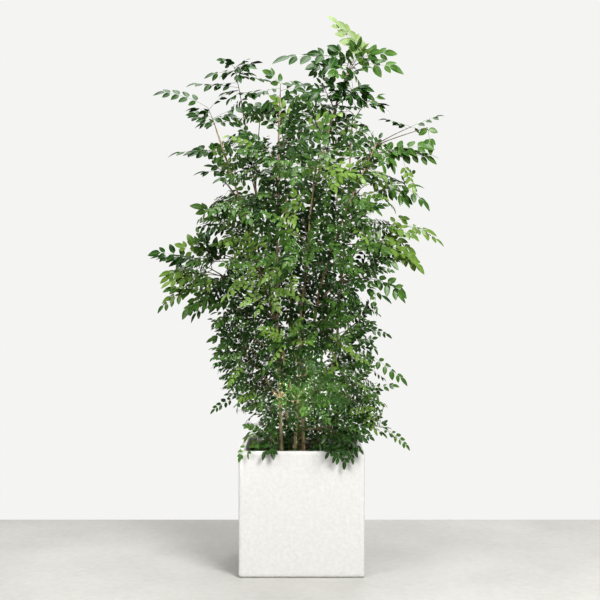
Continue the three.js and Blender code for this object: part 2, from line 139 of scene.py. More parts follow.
BRANCHES = tuple(BranchPlace(*row) for row in (
    ("left_high", "left", 1130, 190, 80, 100, 2), ("left_shoulder", "left", 970, 216, 90, 100, 1),
    ("left_broad", "left", 770, 180, 215, 170, 2, 0.5), ("left_middle", "left", 640, 194, 215, 130, 2, 0.5),
    ("left_low", "front_left", 515, 172, 146, 175, 1, 0.55), ("left_foot", "front_left", 420, 214, 110, 40, 1),
    ("left_inner", "inner_left", 560, 160, 100, 60, 1), ("right_high", "right", 1120, 340, 80, 90, 1),
    ("right_upper", "inner_right", 1220, 20, 90, 100, 2), ("right_side", "inner_right", 960, 12, 130, 110, 2, 0.4),
    ("right_broad", "right", 820, 350, 150, 130, 2, 0.45), ("right_middle", "inner_right", 700, 10, 110, 90, 2),
    ("right_low", "right", 560, 340, 130, 100, 2), ("right_foot", "inner_right", 460, 6, 140, 70, 2, 0.4),
    ("right_rim", "inner_right", 400, 346, 160, 24, 1), ("front_upper", "front_left", 1160, 262, 90, 100, 2),
    ("front_right", "right", 960, 290, 110, 90, 2), ("front_left", "front_left", 820, 236, 110, 110, 2),
    ("front_middle", "front", 880, 276, 100, 90, 1), ("front_low", "front", 620, 258, 120, 90, 1, 0.35),
    ("front_inner", "front", 490, 296, 110, 70, 2), ("front_foot", "front", 425, 322, 150, 30, 2),
    ("centre_high", "leader", 1330, 205, 60, 110, 2), ("centre_top", "leader", 1420, 320, 80, 90, 2),
    ("back_high", "back_left", 1130, 80, 80, 80, 1), ("back_middle", "back_left", 930, 150, 130, 110, 2),
    ("back_left", "back_left", 740, 120, 180, 130, 2, 0.45), ("back_right", "back_right", 800, 50, 180, 130, 2, 0.45),
    ("back_low", "back_right", 540, 70, 160, 90, 1, 0.4), ("back_foot", "back_left", 450, 140, 150, 60, 2),
))


@dataclass(frozen=True)
class PotSizes:
    """The planter and the soil in it, in millimetres."""

    side: float = 380.0
    height: float = 380.0
    wall: float = 18.0
    floor: float = 20.0
    edge: float = 7.0
    edge_steps: int = 3
    soil_top: float = 340.0
    clearance: float = 0.3


@dataclass(frozen=True)
class StemHabit:
    """How stems and boughs grow: the source's numbers, and the relief of the bark."""

    taper: float = 0.56
    flare: float = 0.6
    flare_height: float = 22.0
    knots: int = 9
    kink: float = 5.0
    rooted: float = 12.0
    seed: int = 11
    bough_thick: float = 8.0
    bough_share: float = 0.84
    bough_taper: float = 0.25
    bough_seed: int = 20
    bough_points: int = 12
    branch_points: int = 25
    bend: float = 0.42
    steep: float = 0.62
    node_gap: float = 62.0
    node_swell: float = 0.16
    node_sharpness: int = 24
    bark_depth: float = 0.42
    fine_grain: float = 2.6
    broad_grain: float = 9.0
    grain_stretch: float = 3.5
    sides: int = 12
    ring_gap: float = 6.0
    slim: float = 0.84


@dataclass(frozen=True)
class ShootHabit:
    """Where shoots leave a twig and how they hang: the source's numbers for the leaves of a mass."""

    stalk: float = 38.0
    gap: float = 50.0
    pairs: int = 2
    end: float = 86.0
    angle: float = math.radians(56)
    sag: float = 0.75
    spread: float = 0.22
    turn: float = math.radians(64)
    turn_spread: float = 0.7
    facing: float = 0.8
    lowest: float = 0.7
    highest: float = 1.06
    size_spread: float = 0.14
    first_node: float = 0.34
    last_node: float = 0.86
    tip_node: float = 0.98
    pair_before: float = 0.17
    seed: int = 521


@dataclass(frozen=True)
class FrondHabit:
    """A leaf of the ash at its real size: a rachis with pairs of leaflets and one at its end."""

    length: float = 150.0
    pairs: tuple[int, int] = (4, 6)
    first: float = 0.2
    pair_gap: float = 28.0
    last: float = 0.9
    leaflet: float = 33.0
    breadth: float = 0.57
    end_longer: float = 1.25
    end_breadth: float = 0.46
    node_gap: float = 38.0
    base_angle: float = math.radians(68)
    tip_angle: float = math.radians(46)
    side_angle: float = math.radians(52)
    lowest: float = 0.52
    highest: float = 1.06
    ripening: float = 1.4
    thick: float = 1.5
    thin: float = 0.45
    least_thick: float = 0.75
    rings: int = 6
    points: int = 13
    least_long: float = 0.72
    longer: float = 0.33
    arc: Pair = (0.22, 0.62)
    sweep: float = 0.12
    hang: float = 0.12
    roll_least: float = 0.3
    end_roll: float = 0.2
    set_out: float = 0.15
    window: float = 0.7
    arch: float = 0.05
    end_share: float = 0.4
    seed: int = 9001

    def swelling(self, step: float) -> float:
        """Returns the share of full length that leaflets have, from the lowest pair at 0 to the highest at 1."""
        return self.least_long + self.longer * math.sin(math.pi * (self.arc[0] + self.arc[1] * step))


@dataclass(frozen=True)
class Spreads:
    """How far the draws range, from the least to the most, for the places, sizes and turns of leaves."""

    spray_size: Pair = (0.9, 1.1)
    arch: Pair = (1.2, 2.4)
    shoot_turn: Pair = (-0.4, 0.4)
    node_turn: Pair = (0.1, 0.5)
    pair_angle: Pair = (0.8, 1.2)
    pair_size: Pair = (0.78, 1.0)
    frond_length: Pair = (0.86, 1.1)
    frond_out: Pair = (0.1, 0.5)
    frond_down: Pair = (0.0, 0.6)
    roll: Pair = (-0.6, 0.6)
    facing: Pair = (0.4, 2.0)
    leaflet_angle: Pair = (0.88, 1.12)
    leaflet_pitch: Pair = (0.0, 0.4)
    leaflet_length: Pair = (0.85, 1.12)
    leaflet_width: Pair = (0.88, 1.12)
    leaflet_droop: Pair = (0.05, 0.25)


@dataclass(frozen=True)
class TwigHabit:
    """How thick twigs are at their foot and tip, and how knobbly, in millimetres."""

    mass_most: float = 6.0
    mass_tip: float = 2.6
    mass_points: int = 15
    points: int = 17
    fine: float = 4.4
    spray: Pair = (3.4, 1.8)
    spray_lift: float = 0.1
    shoot: Pair = (2.6, 1.7)
    shoot_most: float = 0.9
    shoot_least: float = 0.25
    twiglet: Pair = (2.2, 1.6)
    ring_gap: float = 10.0
    fewest_rings: int = 4
    knob: float = 0.12
    knob_gap: float = 4.5


@dataclass(frozen=True)
class InnerHabit:
    """The short shoots that leave the stems inside the crown, in opposite pairs."""

    first: float = 352.0
    gap: Pair = (42.0, 110.0)
    gap_spread: Pair = (0.8, 1.2)
    below_tip: float = 70.0
    size: float = 0.8
    low_size: float = 0.75
    rise: Pair = (0.35, 0.9)
    veer: Pair = (-20.0, 20.0)
    turn: float = 75.0
    turn_spread: float = 30.0
    spots: tuple[float, float, int] = (0.06, 0.97, 60)


@dataclass(frozen=True)
class FillHabit:
    """How fronds grow from the nearest twigs into places that are still thin."""

    rounds: int = 3
    edge: float = 0.94
    depth_share: float = 0.92
    nearest: float = 20.0
    furthest: float = 190.0
    inward: float = 0.2
    inward_cost: float = 1.8
    hanging: float = 0.7
    hanging_cost: float = 60.0
    size: Pair = (0.8, 1.0)
    droop: float = 0.3
    past: float = 0.4
    twiglet_reach: float = 70.0
    twiglet_lift: float = 0.08
    twiglet_arch: float = 0.1
    twiglet_least: float = 12.0
    pair_at: float = 0.97
    points: int = 5


@dataclass(frozen=True)
class LightHabit:
    """How light a place in the crown counts as, by how far out and up it is, and the tones that follow."""

    reach: float = 330.0
    out_share: float = 0.55
    up_share: float = 0.45
    spread: Pair = (-0.4, 0.4)
    fresh: float = 0.98
    mid: float = 0.5
    fresher_share: float = 0.35


POT = PotSizes()
STEM = StemHabit()
SHOOT = ShootHabit()
FROND = FrondHabit()
SPREAD = Spreads()
TWIGS = TwigHabit()
INNER = InnerHabit()
FILL = FillHabit()
LIGHT = LightHabit()
PLANT_HEIGHT = 1740.0


class Tone(Enum):
    """The leaf colours of a spray, from painted shade on the crown's inside through painted light on its top and edge
    to the newest tips.
    """

    # Deep shade and mid paint the shade inside the crown, and fresh and lit paints the light on its newer outer
    # leaves
    DEEP = "deep"
    MID = "mid"
    FRESH = "fresh"
    # Young is the real paler colour of new leaves; pale is that colour with painted light shining through the
    # youngest tips
    YOUNG = "young"
    PALE = "pale"


TONES = tuple(Tone)


@dataclass(frozen=True)
class Place:
    """A ball in the crown with leaves of one tone: its middle and how far it reaches, in millimetres."""

    middle: Triple
    reach: float
    tone: Tone

    def holds(self, point: Point) -> bool:
        """Says whether a point is in the ball."""
        return float(np.linalg.norm(point - np.array(self.middle))) < self.reach


@dataclass(frozen=True)
class SkyGap:
    """A patch of the crown that stays open, as seen from the front, to its back or only as far as a limb.

    It is given by its middle, half its width and height, and the depth that it goes to.
    """

    across: float
    height: float
    wide: float
    high: float
    depth: float = math.inf

    def holds(self, seen: np.ndarray, depths: np.ndarray) -> bool:
        """Says whether any point, given by its place across, height as seen and depth, lies in the patch."""
        near = ((seen[:, 0] - self.across) / self.wide) ** 2 + ((seen[:, 1] - self.height) / self.high) ** 2
        return bool(((near < 1) & (depths < self.depth)).any())


# The crown's outline as seen from the front: a height, and how far it reaches to the left and right there
OUTLINE = (
    (1740, 85, 110), (1700, 90, 150), (1660, 100, 185), (1640, 80, 205), (1615, 60, 215), (1580, 10, 215),
    (1560, -60, 210), (1540, -130, 215), (1500, -215, 220), (1480, -235, 220), (1435, -240, 230), (1400, -245, 250),
    (1350, -265, 290), (1320, -320, 360), (1265, -325, 390), (1215, -275, 380), (1180, -250, 370),
    (1140, -340, 335), (1105, -360, 320), (1085, -350, 325), (1050, -355, 365), (1025, -385, 375), (975, -435, 370),
    (945, -440, 355), (915, -440, 266), (870, -440, 248), (835, -410, 243), (795, -300, 264), (765, -302, 240),
    (735, -285, 262), (705, -312, 238), (675, -300, 252), (640, -298, 240), (605, -300, 264), (565, -268, 290),
    (530, -262, 268), (500, -228, 280), (435, -200, 275), (390, -190, 240), (290, -190, 225),
)

# Where the crown stays open, as seen from the front
SKY = tuple(SkyGap(*row) for row in (
    (-340, 1265, 60, 20), (-365, 1105, 40, 40), (-265, 1385, 25, 22), (-250, 972, 24, 22), (-268, 945, 24, 20),
    (-288, 915, 22, 20), (-280, 1040, 36, 12), (255, 1105, 45, 13), (252, 1030, 18, 20), (200, 1187, 20, 22),
    (178, 1028, 16, 16), (-125, 1375, 30, 18), (-150, 1467, 65, 12), (200, 855, 24, 18), (222, 578, 36, 13),
    (-270, 800, 32, 13), (-154, 455, 22, 18), (-88, 1345, 20, 14), (200, 400, 16, 18), (300, 908, 70, 15),
    (268, 845, 30, 25), (300, 1255, 65, 20), (130, 910, 25, 15), (135, 735, 20, 18), (90, 650, 30, 20),
    (-240, 462, 35, 22), (290, 530, 35, 28), (-172, 398, 26, 30), (-385, 995, 30, 20), (-450, 1035, 30, 25),
    (-200, 1530, 70, 20), (-45, 1556, 68, 26), (210, 1660, 45, 30), (225, 1590, 35, 14), (315, 1345, 50, 20),
    (165, 1432, 20, 14), (290, 680, 50, 30), (-225, 1475, 65, 20), (335, 1120, 75, 32), (-345, 745, 40, 22),
    (-325, 1475, 75, 30), (-360, 1390, 50, 30), (-300, 1345, 35, 20), (-165, 1388, 35, 15), (-305, 1195, 50, 35),
    (-180, 1200, 50, 20), (255, 1540, 70, 30), (245, 1450, 85, 35), (305, 1370, 70, 35), (275, 1705, 85, 70),
    (160, 1775, 30, 30), (-335, 715, 40, 40), (290, 750, 65, 50), (-250, 425, 45, 30), (-85, 1520, 40, 25),
    (-375, 690, 40, 45), (345, 1475, 65, 45), (320, 395, 70, 30), (155, 1280, 25, 25), (190, 975, 25, 30),
    (-60, 430, 15, 80, -62.0), (12, 415, 15, 55, -78.0), (50, 805, 14, 60, -85.0), (-85, 540, 16, 26, -60.0),
    (-115, 580, 16, 26, -60.0), (-145, 625, 16, 26, -60.0), (-170, 665, 16, 26, -60.0),
))


@dataclass(frozen=True)
class FineBranch:
    """A branch too thin for the solids: its stem and height, the tip of its twig and its pairs of shoots."""

    stem: str
    at: float
    tip: Triple
    pairs: int


@dataclass(frozen=True)
class Spray:
    """A twig that stands clear of the crown: its stem and height, its end and its fronds.

    Each frond is given by the share of the twig where it starts and by the place where it ends. The rest is the
    size of its leaflets, its tone, how far its leaflets face the window and how high it arches.
    """

    stem: str
    at: float
    end: Triple
    fronds: tuple[Quad, ...]
    size: float = 1.0
    tone: Optional[Tone] = None
    window: float = 0.7
    arch: float = 0.08


SPRAYS = (
    Spray("left", 1368, (-295, -50, 1440), (
        (1.0, -468, -60, 1484), (0.9, -200, -90, 1488), (0.55, -362, -20, 1415), (0.5, -98, -60, 1432),
        (0.45, -180, -30, 1402), (0.25, -338, -60, 1402), (0.35, -368, -40, 1422), (0.3, -190, -50, 1380),
        (0.45, -215, -60, 1410), (0.75, -352, -80, 1430), (0.25, -335, -20, 1385),
    ), 1.0, Tone.DEEP, 0.4, 0.1),
    Spray("left", 1300, (-280, -60, 1302), (
        (1.0, -423, -60, 1292), (0.8, -365, -90, 1290), (0.6, -200, -140, 1325), (0.5, -350, -30, 1310),
    ), 1.4, Tone.DEEP, 0.7, 0.02),
    Spray("left", 1225, (-245, -60, 1240), (
        (1.0, -330, -70, 1233), (0.8, -290, -90, 1252),
    ), 1.25, Tone.DEEP, 0.7, 0.02),
    Spray("inner_left", 1435, (-218, 60, 1590), (
        (1.0, -175, 20, 1610), (0.95, -320, 70, 1565), (0.9, -130, 90, 1625), (0.85, -90, 40, 1540),
        (0.6, -375, 40, 1535), (0.45, -105, 0, 1500), (1.0, -232, 40, 1605), (1.0, -155, 40, 1588),
        (0.95, -255, 30, 1562), (0.92, -200, 20, 1548), (0.7, -300, 40, 1528), (0.5, -240, 20, 1475),
        (0.4, -185, 10, 1450), (0.35, -235, 20, 1440), (0.95, -180, 70, 1602), (0.9, -165, 50, 1570),
        (0.8, -190, 20, 1575), (0.55, -265, 30, 1500), (0.5, -140, 20, 1497),
    ), 1.0, Tone.DEEP, 0.6, 0.02),
    Spray("inner_left", 1438, (-218, 60, 1592), ((1.0, -278, 60, 1622),), 0.6, Tone.DEEP),
    Spray("front_left", 1458, (-65, -115, 1500), (
        (1.0, -110, -130, 1535), (1.0, -5, -100, 1508), (0.7, -140, -160, 1455), (0.5, 10, -170, 1465),
        (0.2, -120, -120, 1425),
    )),
    # The top frond's pale leaves are paler new growth with painted light shining through them
    Spray("leader", 1558, (198, -30, 1598), (
        (1.0, 84, -50, 1738), (0.97, 152, -50, 1690), (1.0, 112, -52, 1720),
    ), 0.95, Tone.PALE, 2.2, 0.02),
    Spray("leader", 1553, (150, -30, 1602), ((1.0, -92, -75, 1582),), 1.4, Tone.DEEP, 3.0, 0.04),
    Spray("leader", 1555, (150, -30, 1600), (
        (0.6, 15, -60, 1615), (0.5, 10, -80, 1560), (0.8, 95, -60, 1632),
    ), 1.12, Tone.DEEP, 1.8, 0.03),
    Spray("leader", 1556, (165, -25, 1598), (
        (0.9, 302, -50, 1614), (0.6, 318, -80, 1550), (0.9, 180, -60, 1640), (0.7, 250, -60, 1620),
    ), 1.2, Tone.MID, 2.0, 0.06),
    Spray("leader", 1554, (170, -25, 1590), (
        (1.0, 205, -60, 1636), (0.9, 152, -60, 1648),
    ), 0.9, Tone.FRESH, 1.2, 0.04),
    Spray("leader", 1500, (160, -50, 1560), (
        (0.9, 80, -110, 1532), (0.8, 215, -90, 1560), (0.6, 85, -130, 1520), (1.0, 150, -110, 1610),
    ), 1.0, Tone.MID, 0.9),
    Spray("leader", 1450, (165, -60, 1495), (
        (1.0, 205, -80, 1478), (1.0, 190, -110, 1440), (0.9, 150, -130, 1440), (0.6, 110, -120, 1490),
        (0.5, 75, -100, 1510), (0.3, 120, -150, 1440), (0.95, 60, -80, 1495), (0.9, 140, -90, 1515),
        (0.8, 185, -60, 1500), (0.7, 100, -110, 1465), (0.6, 205, -50, 1450),
    ), 1.05, Tone.DEEP, 0.9),
    Spray("leader", 1440, (70, -80, 1495), (
        (1.0, 9, -60, 1509), (0.95, 41, -90, 1470), (0.9, 95, -60, 1525), (0.8, -6, -100, 1462),
        (0.7, 57, -120, 1446), (0.6, 130, -90, 1480),
    ), 1.1, Tone.DEEP, 1.2, 0.03),
    Spray("leader", 1470, (165, -50, 1500), (
        (1.0, 198, -60, 1499), (0.95, 151, -80, 1545), (0.9, 135, -60, 1509), (0.8, 220, -60, 1470),
        (0.7, 104, -90, 1462), (0.6, 170, -90, 1462),
    ), 1.1, Tone.DEEP, 1.2, 0.03),
    Spray("right", 1318, (340, -80, 1374), (
        (1.0, 447, -90, 1413), (1.0, 240, -60, 1405), (0.95, 405, -60, 1368), (0.9, 300, -60, 1385),
    ), 0.85, Tone.DEEP, 0.25, 0.03),
    Spray("right", 1316, (392, -80, 1372), ((1.0, 402, -90, 1306),), 1.3, Tone.MID, 3.0),
    Spray("right", 1290, (270, -80, 1300), (
        (1.0, 412, -100, 1310), (0.9, 434, -60, 1280), (0.8, 428, -60, 1270), (0.6, 290, -90, 1240),
        (0.5, 345, -60, 1300), (0.7, 385, -80, 1285), (0.5, 285, -100, 1262), (0.4, 255, -120, 1235),
    ), 1.2, Tone.MID, 0.6, 0.05),
    Spray("inner_right", 1416, (215, 40, 1480), (
        (1.0, 285, 30, 1440), (0.8, 275, 80, 1515), (0.5, 140, -20, 1485), (0.7, 285, 20, 1465),
    ), 1.0, None, 0.4, 0.03),
    Spray("right", 1150, (310, -60, 1195), (
        (1.0, 402, -80, 1118), (0.9, 385, -40, 1190), (0.5, 293, -120, 1108), (0.8, 330, -90, 1130),
        (0.6, 348, -70, 1140),
    ), 1.3, None, 1.2),
    Spray("right", 1090, (325, -40, 1068), (
        (1.0, 449, -50, 1006), (0.95, 425, -60, 1038), (0.8, 340, -10, 1092), (0.6, 365, -100, 1020),
    ), 1.35, None, 1.0, 0.12),
    Spray("right", 1000, (255, -90, 1020), (
        (1.0, 370, -100, 932), (0.9, 362, -60, 985), (0.75, 350, -120, 955), (0.5, 335, -60, 1022),
        (0.85, 366, -80, 960), (0.95, 385, -90, 922), (0.6, 300, -120, 932),
    ), 1.38, None, 1.0, 0.04),
    Spray("right", 880, (225, -90, 905), (
        (1.0, 322, -100, 828), (0.8, 332, -60, 862), (0.5, 275, -130, 825), (0.9, 330, -80, 845),
    ), 1.5, None, 1.2),
    Spray("right", 690, (185, -60, 755), ((1.0, 285, -60, 718), (0.7, 230, -100, 690)), 1.1, None, 0.7, 0.03),
    Spray("inner_right", 600, (225, 0, 655), ((1.0, 340, -10, 567),), 1.4, None, 0.9, 0.03),
    Spray("inner_right", 520, (215, 0, 545), ((1.0, 313, -10, 561),), 1.2),
    Spray("left", 960, (-330, -60, 955), (
        (1.0, -482, -70, 980), (0.95, -420, -50, 945), (0.7, -310, -90, 1025), (0.55, -335, -30, 1050),
        (0.6, -350, -60, 1000), (0.9, -462, -50, 962), (1.0, -478, -50, 968),
    ), 1.4, Tone.DEEP),
    Spray("left", 965, (-325, -70, 965), ((0.95, -398, -80, 1012), (0.9, -360, -80, 1040)), 1.25, Tone.FRESH),
    Spray("left", 900, (-330, -40, 918), (
        (1.0, -449, -60, 912), (0.9, -438, -90, 876), (0.8, -395, -60, 890), (0.9, -410, -30, 930),
        (0.95, -446, -60, 892),
    ), 1.4, None, 1.0),
    Spray("left", 830, (-330, -60, 870), (
        (1.0, -435, -70, 862), (0.95, -440, -60, 828), (0.8, -365, -60, 792), (0.95, -400, -90, 858),
        (1.0, -455, -60, 798), (0.85, -375, -80, 780), (0.7, -352, -50, 768), (0.7, -355, -90, 795),
        (0.6, -330, -60, 780), (0.4, -290, -90, 800),
    ), 1.35, None, 0.9),
    Spray("left", 1110, (-250, -40, 1080), (
        (1.0, -350, -60, 1135), (0.7, -335, -20, 1085), (0.85, -300, -80, 1120),
    ), 1.45),
    Spray("left", 700, (-220, -60, 720), (
        (1.0, -300, -60, 705), (0.8, -275, -100, 655), (0.5, -280, -20, 740),
    ), 1.3),
    Spray("front_left", 540, (-175, -60, 610), ((1.0, -245, -60, 570), (0.7, -235, -100, 625))),
    Spray("front_left", 470, (-205, -80, 530), ((1.0, -286, -80, 482),)),
    Spray("right", 440, (125, -199, 432), (
        (1.0, 105, -214, 345), (1.0, 128, -214, 330), (1.0, 155, -213, 345), (1.0, 185, -212, 375),
        (0.98, 200, -210, 410), (0.95, 82, -214, 385), (0.85, 130, -212, 372), (0.75, 60, -205, 410),
        (0.95, 70, -214, 362), (1.0, 92, -214, 350), (1.0, 168, -212, 366),
    ), 1.15, Tone.DEEP),
    Spray("right", 430, (150, -160, 440), (
        (1.0, 208, -150, 430), (1.0, 205, -180, 455), (0.9, 190, -185, 480), (0.7, 115, -195, 455),
        (0.95, 160, -195, 425), (0.8, 140, -200, 400), (0.6, 70, -190, 440), (0.5, 150, -150, 490),
        (0.4, 95, -160, 480), (0.9, 185, -150, 405), (0.7, 110, -190, 415),
    ), 1.15, Tone.DEEP),
    Spray("front_left", 790, (-105, -215, 855), (
        (1.0, -205, -235, 885), (1.0, -185, -240, 815), (0.95, -140, -245, 785), (0.9, -60, -240, 795),
        (0.9, -25, -235, 850), (0.8, -75, -230, 920), (0.7, -150, -225, 920), (0.6, -110, -230, 830),
    ), 0.85, Tone.YOUNG),
    Spray("front_left", 405, (-165, -185, 402), (
        (1.0, -190, -210, 352), (0.95, -160, -214, 362), (0.85, -130, -205, 392),
    ), 1.0, Tone.MID),
    Spray("front_left", 395, (-95, -160, 405), ((1.0, -85, -214, 366), (1.0, -118, -214, 362)), 1.3, Tone.DEEP),
    Spray("inner_left", 392, (-150, 40, 402), (
        (1.0, -186, -20, 392), (0.95, -182, 90, 394), (0.9, -180, -80, 394), (0.6, -150, -110, 400),
        (0.5, -140, 90, 385), (0.95, -158, 20, 376),
    ), 1.3, Tone.FRESH),
    Spray("inner_right", 465, (268, -20, 428), (
        (1.0, 345, -30, 362), (0.95, 296, -50, 400), (0.7, 272, -40, 402), (0.5, 240, 10, 425),
        (0.9, 275, -20, 430), (0.6, 255, -50, 470), (0.75, 262, -50, 436), (0.9, 265, -10, 445),
    ), 1.15, None, 0.9, 0.04),
)

FINE_BRANCHES = tuple(FineBranch(*row) for row in (
    ("front_left", 385, (-120, -125, 412), 2), ("front", 380, (10, -150, 405), 2),
    ("right", 382, (105, -125, 412), 2), ("inner_right", 385, (150, 30, 415), 2),
    ("inner_left", 385, (-140, 50, 415), 2), ("back_left", 390, (-110, 135, 412), 2),
    ("back_right", 390, (120, 130, 412), 2), ("left", 930, (-325, -60, 1000), 3), ("left", 850, (-325, -120, 930), 3),
    ("left", 800, (-350, 0, 875), 3), ("left", 760, (-290, -150, 835), 3), ("left", 720, (-235, 120, 815), 2),
    ("left", 680, (-180, -140, 765), 3), ("front_left", 620, (-175, -150, 690), 3),
    ("inner_left", 600, (-180, 60, 705), 3), ("front_left", 520, (-165, -60, 595), 3),
    ("inner_left", 480, (-165, 80, 565), 3), ("front_left", 470, (-145, -120, 525), 2),
    ("right", 960, (265, -90, 1005), 3), ("right", 880, (225, -100, 905), 2), ("right", 800, (155, -130, 865), 3),
    ("inner_right", 560, (180, -60, 565), 3), ("right", 600, (140, -160, 540), 3),
    ("inner_right", 540, (230, 40, 585), 2), ("right", 1120, (305, -40, 1070), 2),
    ("right", 1230, (300, -60, 1300), 2), ("left", 1150, (-300, -60, 1140), 3), ("left", 1040, (-280, 60, 1085), 2),
    ("leader", 1250, (105, -130, 1185), 3), ("front_left", 1180, (-100, -150, 1140), 3),
    ("left", 1190, (-290, -60, 1300), 2), ("inner_left", 1150, (-200, -20, 1345), 3),
    ("inner_left", 1200, (-130, -20, 1435), 2), ("front", 700, (60, -200, 740), 3),
    ("inner_right", 760, (185, 120, 835), 2),
))

# Balls where the tone is set: the fresh and lit ones paint light where leaves catch it, the young ones hold the paler
# colour of new leaves
LIGHT_PLACES = (
    Place((125, -25, 1700), 85, Tone.YOUNG),
    Place((140, -20, 1620), 60, Tone.FRESH),
    Place((50, -170, 1405), 55, Tone.YOUNG),
    Place((-110, -200, 860), 95, Tone.YOUNG),
    Place((-60, -230, 800), 70, Tone.FRESH),
    Place((190, -150, 600), 42, Tone.FRESH),
    Place((235, -80, 500), 36, Tone.FRESH),
    Place((140, -190, 700), 36, Tone.FRESH),
    Place((-330, -60, 1060), 60, Tone.FRESH),
    Place((370, -60, 985), 100, Tone.FRESH),
    Place((-400, -80, 1010), 80, Tone.FRESH),
    Place((195, -120, 1150), 55, Tone.FRESH),
)

# How many layers of leaf the crown carries at each height, as seen from the front
FULLNESS = (
    (1740, 0.1), (1640, 0.12), (1560, 0.3), (1480, 0.55), (1400, 0.8), (1250, 1.1), (1100, 1.3), (900, 1.45),
    (400, 1.5),
)


# ---- Lines and draws ----


class Draws:
    """The source's seeded draws: the same numbers for the same seed."""

    STEP = 0x6D2B79F5
    ODD = 61

    def __init__(self, seed: int) -> None:
        """Starts the draws from a whole number."""
        self.state = seed & WORD

    def next(self) -> float:
        """Mixes the state on to the next number.

        Returns:
            A number from 0 up to 1.
        """
        self.state = (self.state + self.STEP) & WORD
        mixed = (self.state ^ (self.state >> 15)) * (1 | self.state) & WORD
        mixed = (mixed + ((mixed ^ (mixed >> 7)) * (self.ODD | mixed) & WORD)) & WORD ^ mixed
        return (mixed ^ (mixed >> 14)) / (WORD + 1)

    def between(self, low: float, high: float) -> float:
        """Returns a number from low up to high."""
        return low + (high - low) * self.next()


def unit(vector: Point) -> Point:
    """Returns the vector at length one."""
    return vector / max(float(np.linalg.norm(vector)), TINY)


def lerp(low: float, high: float, share: float) -> float:
    """Returns the number that share of the way from low to high."""
    return low + (high - low) * share


def bearing_of(degrees: float) -> Point:
    """Returns the level unit vector that a bearing points along."""
    angle = math.radians(degrees)
    return np.array([math.cos(angle), math.sin(angle), 0.0])


def turned_from(along: Point, across: Point, angle: float) -> Point:
    """Returns a direction turned by an angle towards another that it is square to."""
    return along * math.cos(angle) + across * math.sin(angle)


def turned_about(vector: Point, axis: Point, angle: float) -> Point:
    """Returns a vector turned about a unit axis."""
    cosine, sine = math.cos(angle), math.sin(angle)
    return vector * cosine + np.cross(axis, vector) * sine + axis * float(axis @ vector) * (1 - cosine)


def aside_of(along: Point, turn: float) -> Point:
    """Returns the direction square to a twig that is level before it is turned about it."""
    return turned_about(unit(np.cross(UP, along)), along, turn)


def outward_of(point: Point) -> Point:
    """Returns the level direction away from the middle of the plant."""
    return unit(point * np.array([1.0, 1.0, 0.0]))


def upper_side(heading: Point, outward: Point, facing: float, window: float) -> Point:
    """Works out which way a leaf's upper side faces. Leaves turn up, out and a little to the window.

    Args:
        heading: The way that the leaf runs.
        outward: The level way out of the crown.
        facing: How far the leaf faces out, against up.
        window: How far it faces the window.

    Returns:
        The unit direction, square to the heading.
    """
    upper = UP + outward * facing + WINDOW * window
    return unit(upper - heading * float(upper @ heading))


class Path:
    """A line through space, read by shares of its length."""

    NEAR = 0.02

    def __init__(self, points: np.ndarray) -> None:
        """Measures the line.

        Args:
            points: The points it runs through, in millimetres.
        """
        steps = np.linalg.norm(np.diff(points, axis=0), axis=1)
        self.points = points
        self.reached = np.concatenate([[0.0], np.cumsum(steps)])
        self.length = float(self.reached[-1])

    def at(self, share: float) -> Point:
        """Returns the point at a share of the length."""
        far = share * self.length
        return np.array([np.interp(far, self.reached, self.points[:, axis]) for axis in range(3)])

    def many(self, shares: np.ndarray) -> np.ndarray:
        """Returns the points at many shares of the length."""
        far = shares * self.length
        return np.stack([np.interp(far, self.reached, self.points[:, axis]) for axis in range(3)], 1)

    def along(self, share: float) -> Point:
        """Returns the unit direction at a share of the length."""
        return unit(self.at(min(1.0, share + self.NEAR)) - self.at(max(0.0, share - self.NEAR)))

    def stretch(self, start: float, end: float, count: int = 9) -> "Path":
        """Returns the stretch between two shares of the length as its own path."""
        return Path(self.many(np.linspace(start, end, count)))

    def at_height(self, height: float) -> tuple[Point, float]:
        """Returns the point at a height on a rising path, and its share of the length."""
        share = float(np.interp(height, self.points[:, 2], self.reached)) / self.length
        return self.at(share), share


def bent_between(start: Point, middle: Point, end: Point, count: int = 13) -> Path:
    """Returns the smooth path with three control points."""
    t = np.linspace(0, 1, count)[:, None]
    return Path((1 - t) ** 2 * start + 2 * t * (1 - t) * middle + t**2 * end)


def bent_path(start: Point, heading: Point, turned: Point, length: float) -> Path:
    """Returns a path that leaves a point along a heading and turns halfway towards another."""
    middle = start + heading * length / 2
    return bent_between(start, middle, middle + turned * length / 2)


def through_knots(knots: Sequence[Point], steps: int = 24) -> Path:
    """Draws the smooth curve through knots that the source's stems follow.

    Args:
        knots: The points it runs through.
        steps: The points on each span.

    Returns:
        The curve.
    """
    ends = [2 * knots[0] - knots[1], *knots, 2 * knots[-1] - knots[-2]]
    t = np.linspace(0, 1, steps, endpoint=False)[:, None]
    spans = []
    for before, start, end, after in zip(ends, ends[1:], ends[2:], ends[3:]):
        first, span, last = (
            math.sqrt(float(np.linalg.norm(b - a))) for a, b in ((before, start), (start, end), (end, after))
        )
        leave = ((start - before) / first - (end - before) / (first + span) + (end - start) / span) * span
        reach = ((end - start) / span - (after - start) / (span + last) + (after - end) / last) * span
        cubic = 2 * start - 2 * end + leave + reach
        square = -3 * start + 3 * end - 2 * leave - reach
        spans.append(start + leave * t + square * t**2 + cubic * t**3)
    return Path(np.concatenate([*spans, knots[-1][None]]))


# ---- Meshes from arrays ----


def new_piece(name: str, points: np.ndarray, faces: list[tuple[int, ...]]) -> Piece:
    """Makes a smooth-shaded object at the origin from points in millimetres.

    Args:
        name: The piece's name.
        points: Its corners.
        faces: Its faces, as rows of corners.

    Returns:
        The object, linked to the scene.
    """
    mesh = bpy.data.meshes.new(name)
    mesh.from_pydata((points * MM).tolist(), [], faces)
    mesh.polygons.foreach_set("use_smooth", [True] * len(mesh.polygons))
    mesh.update()
    piece = bpy.data.objects.new(name, mesh)
    bpy.context.scene.collection.objects.link(piece)
    return piece


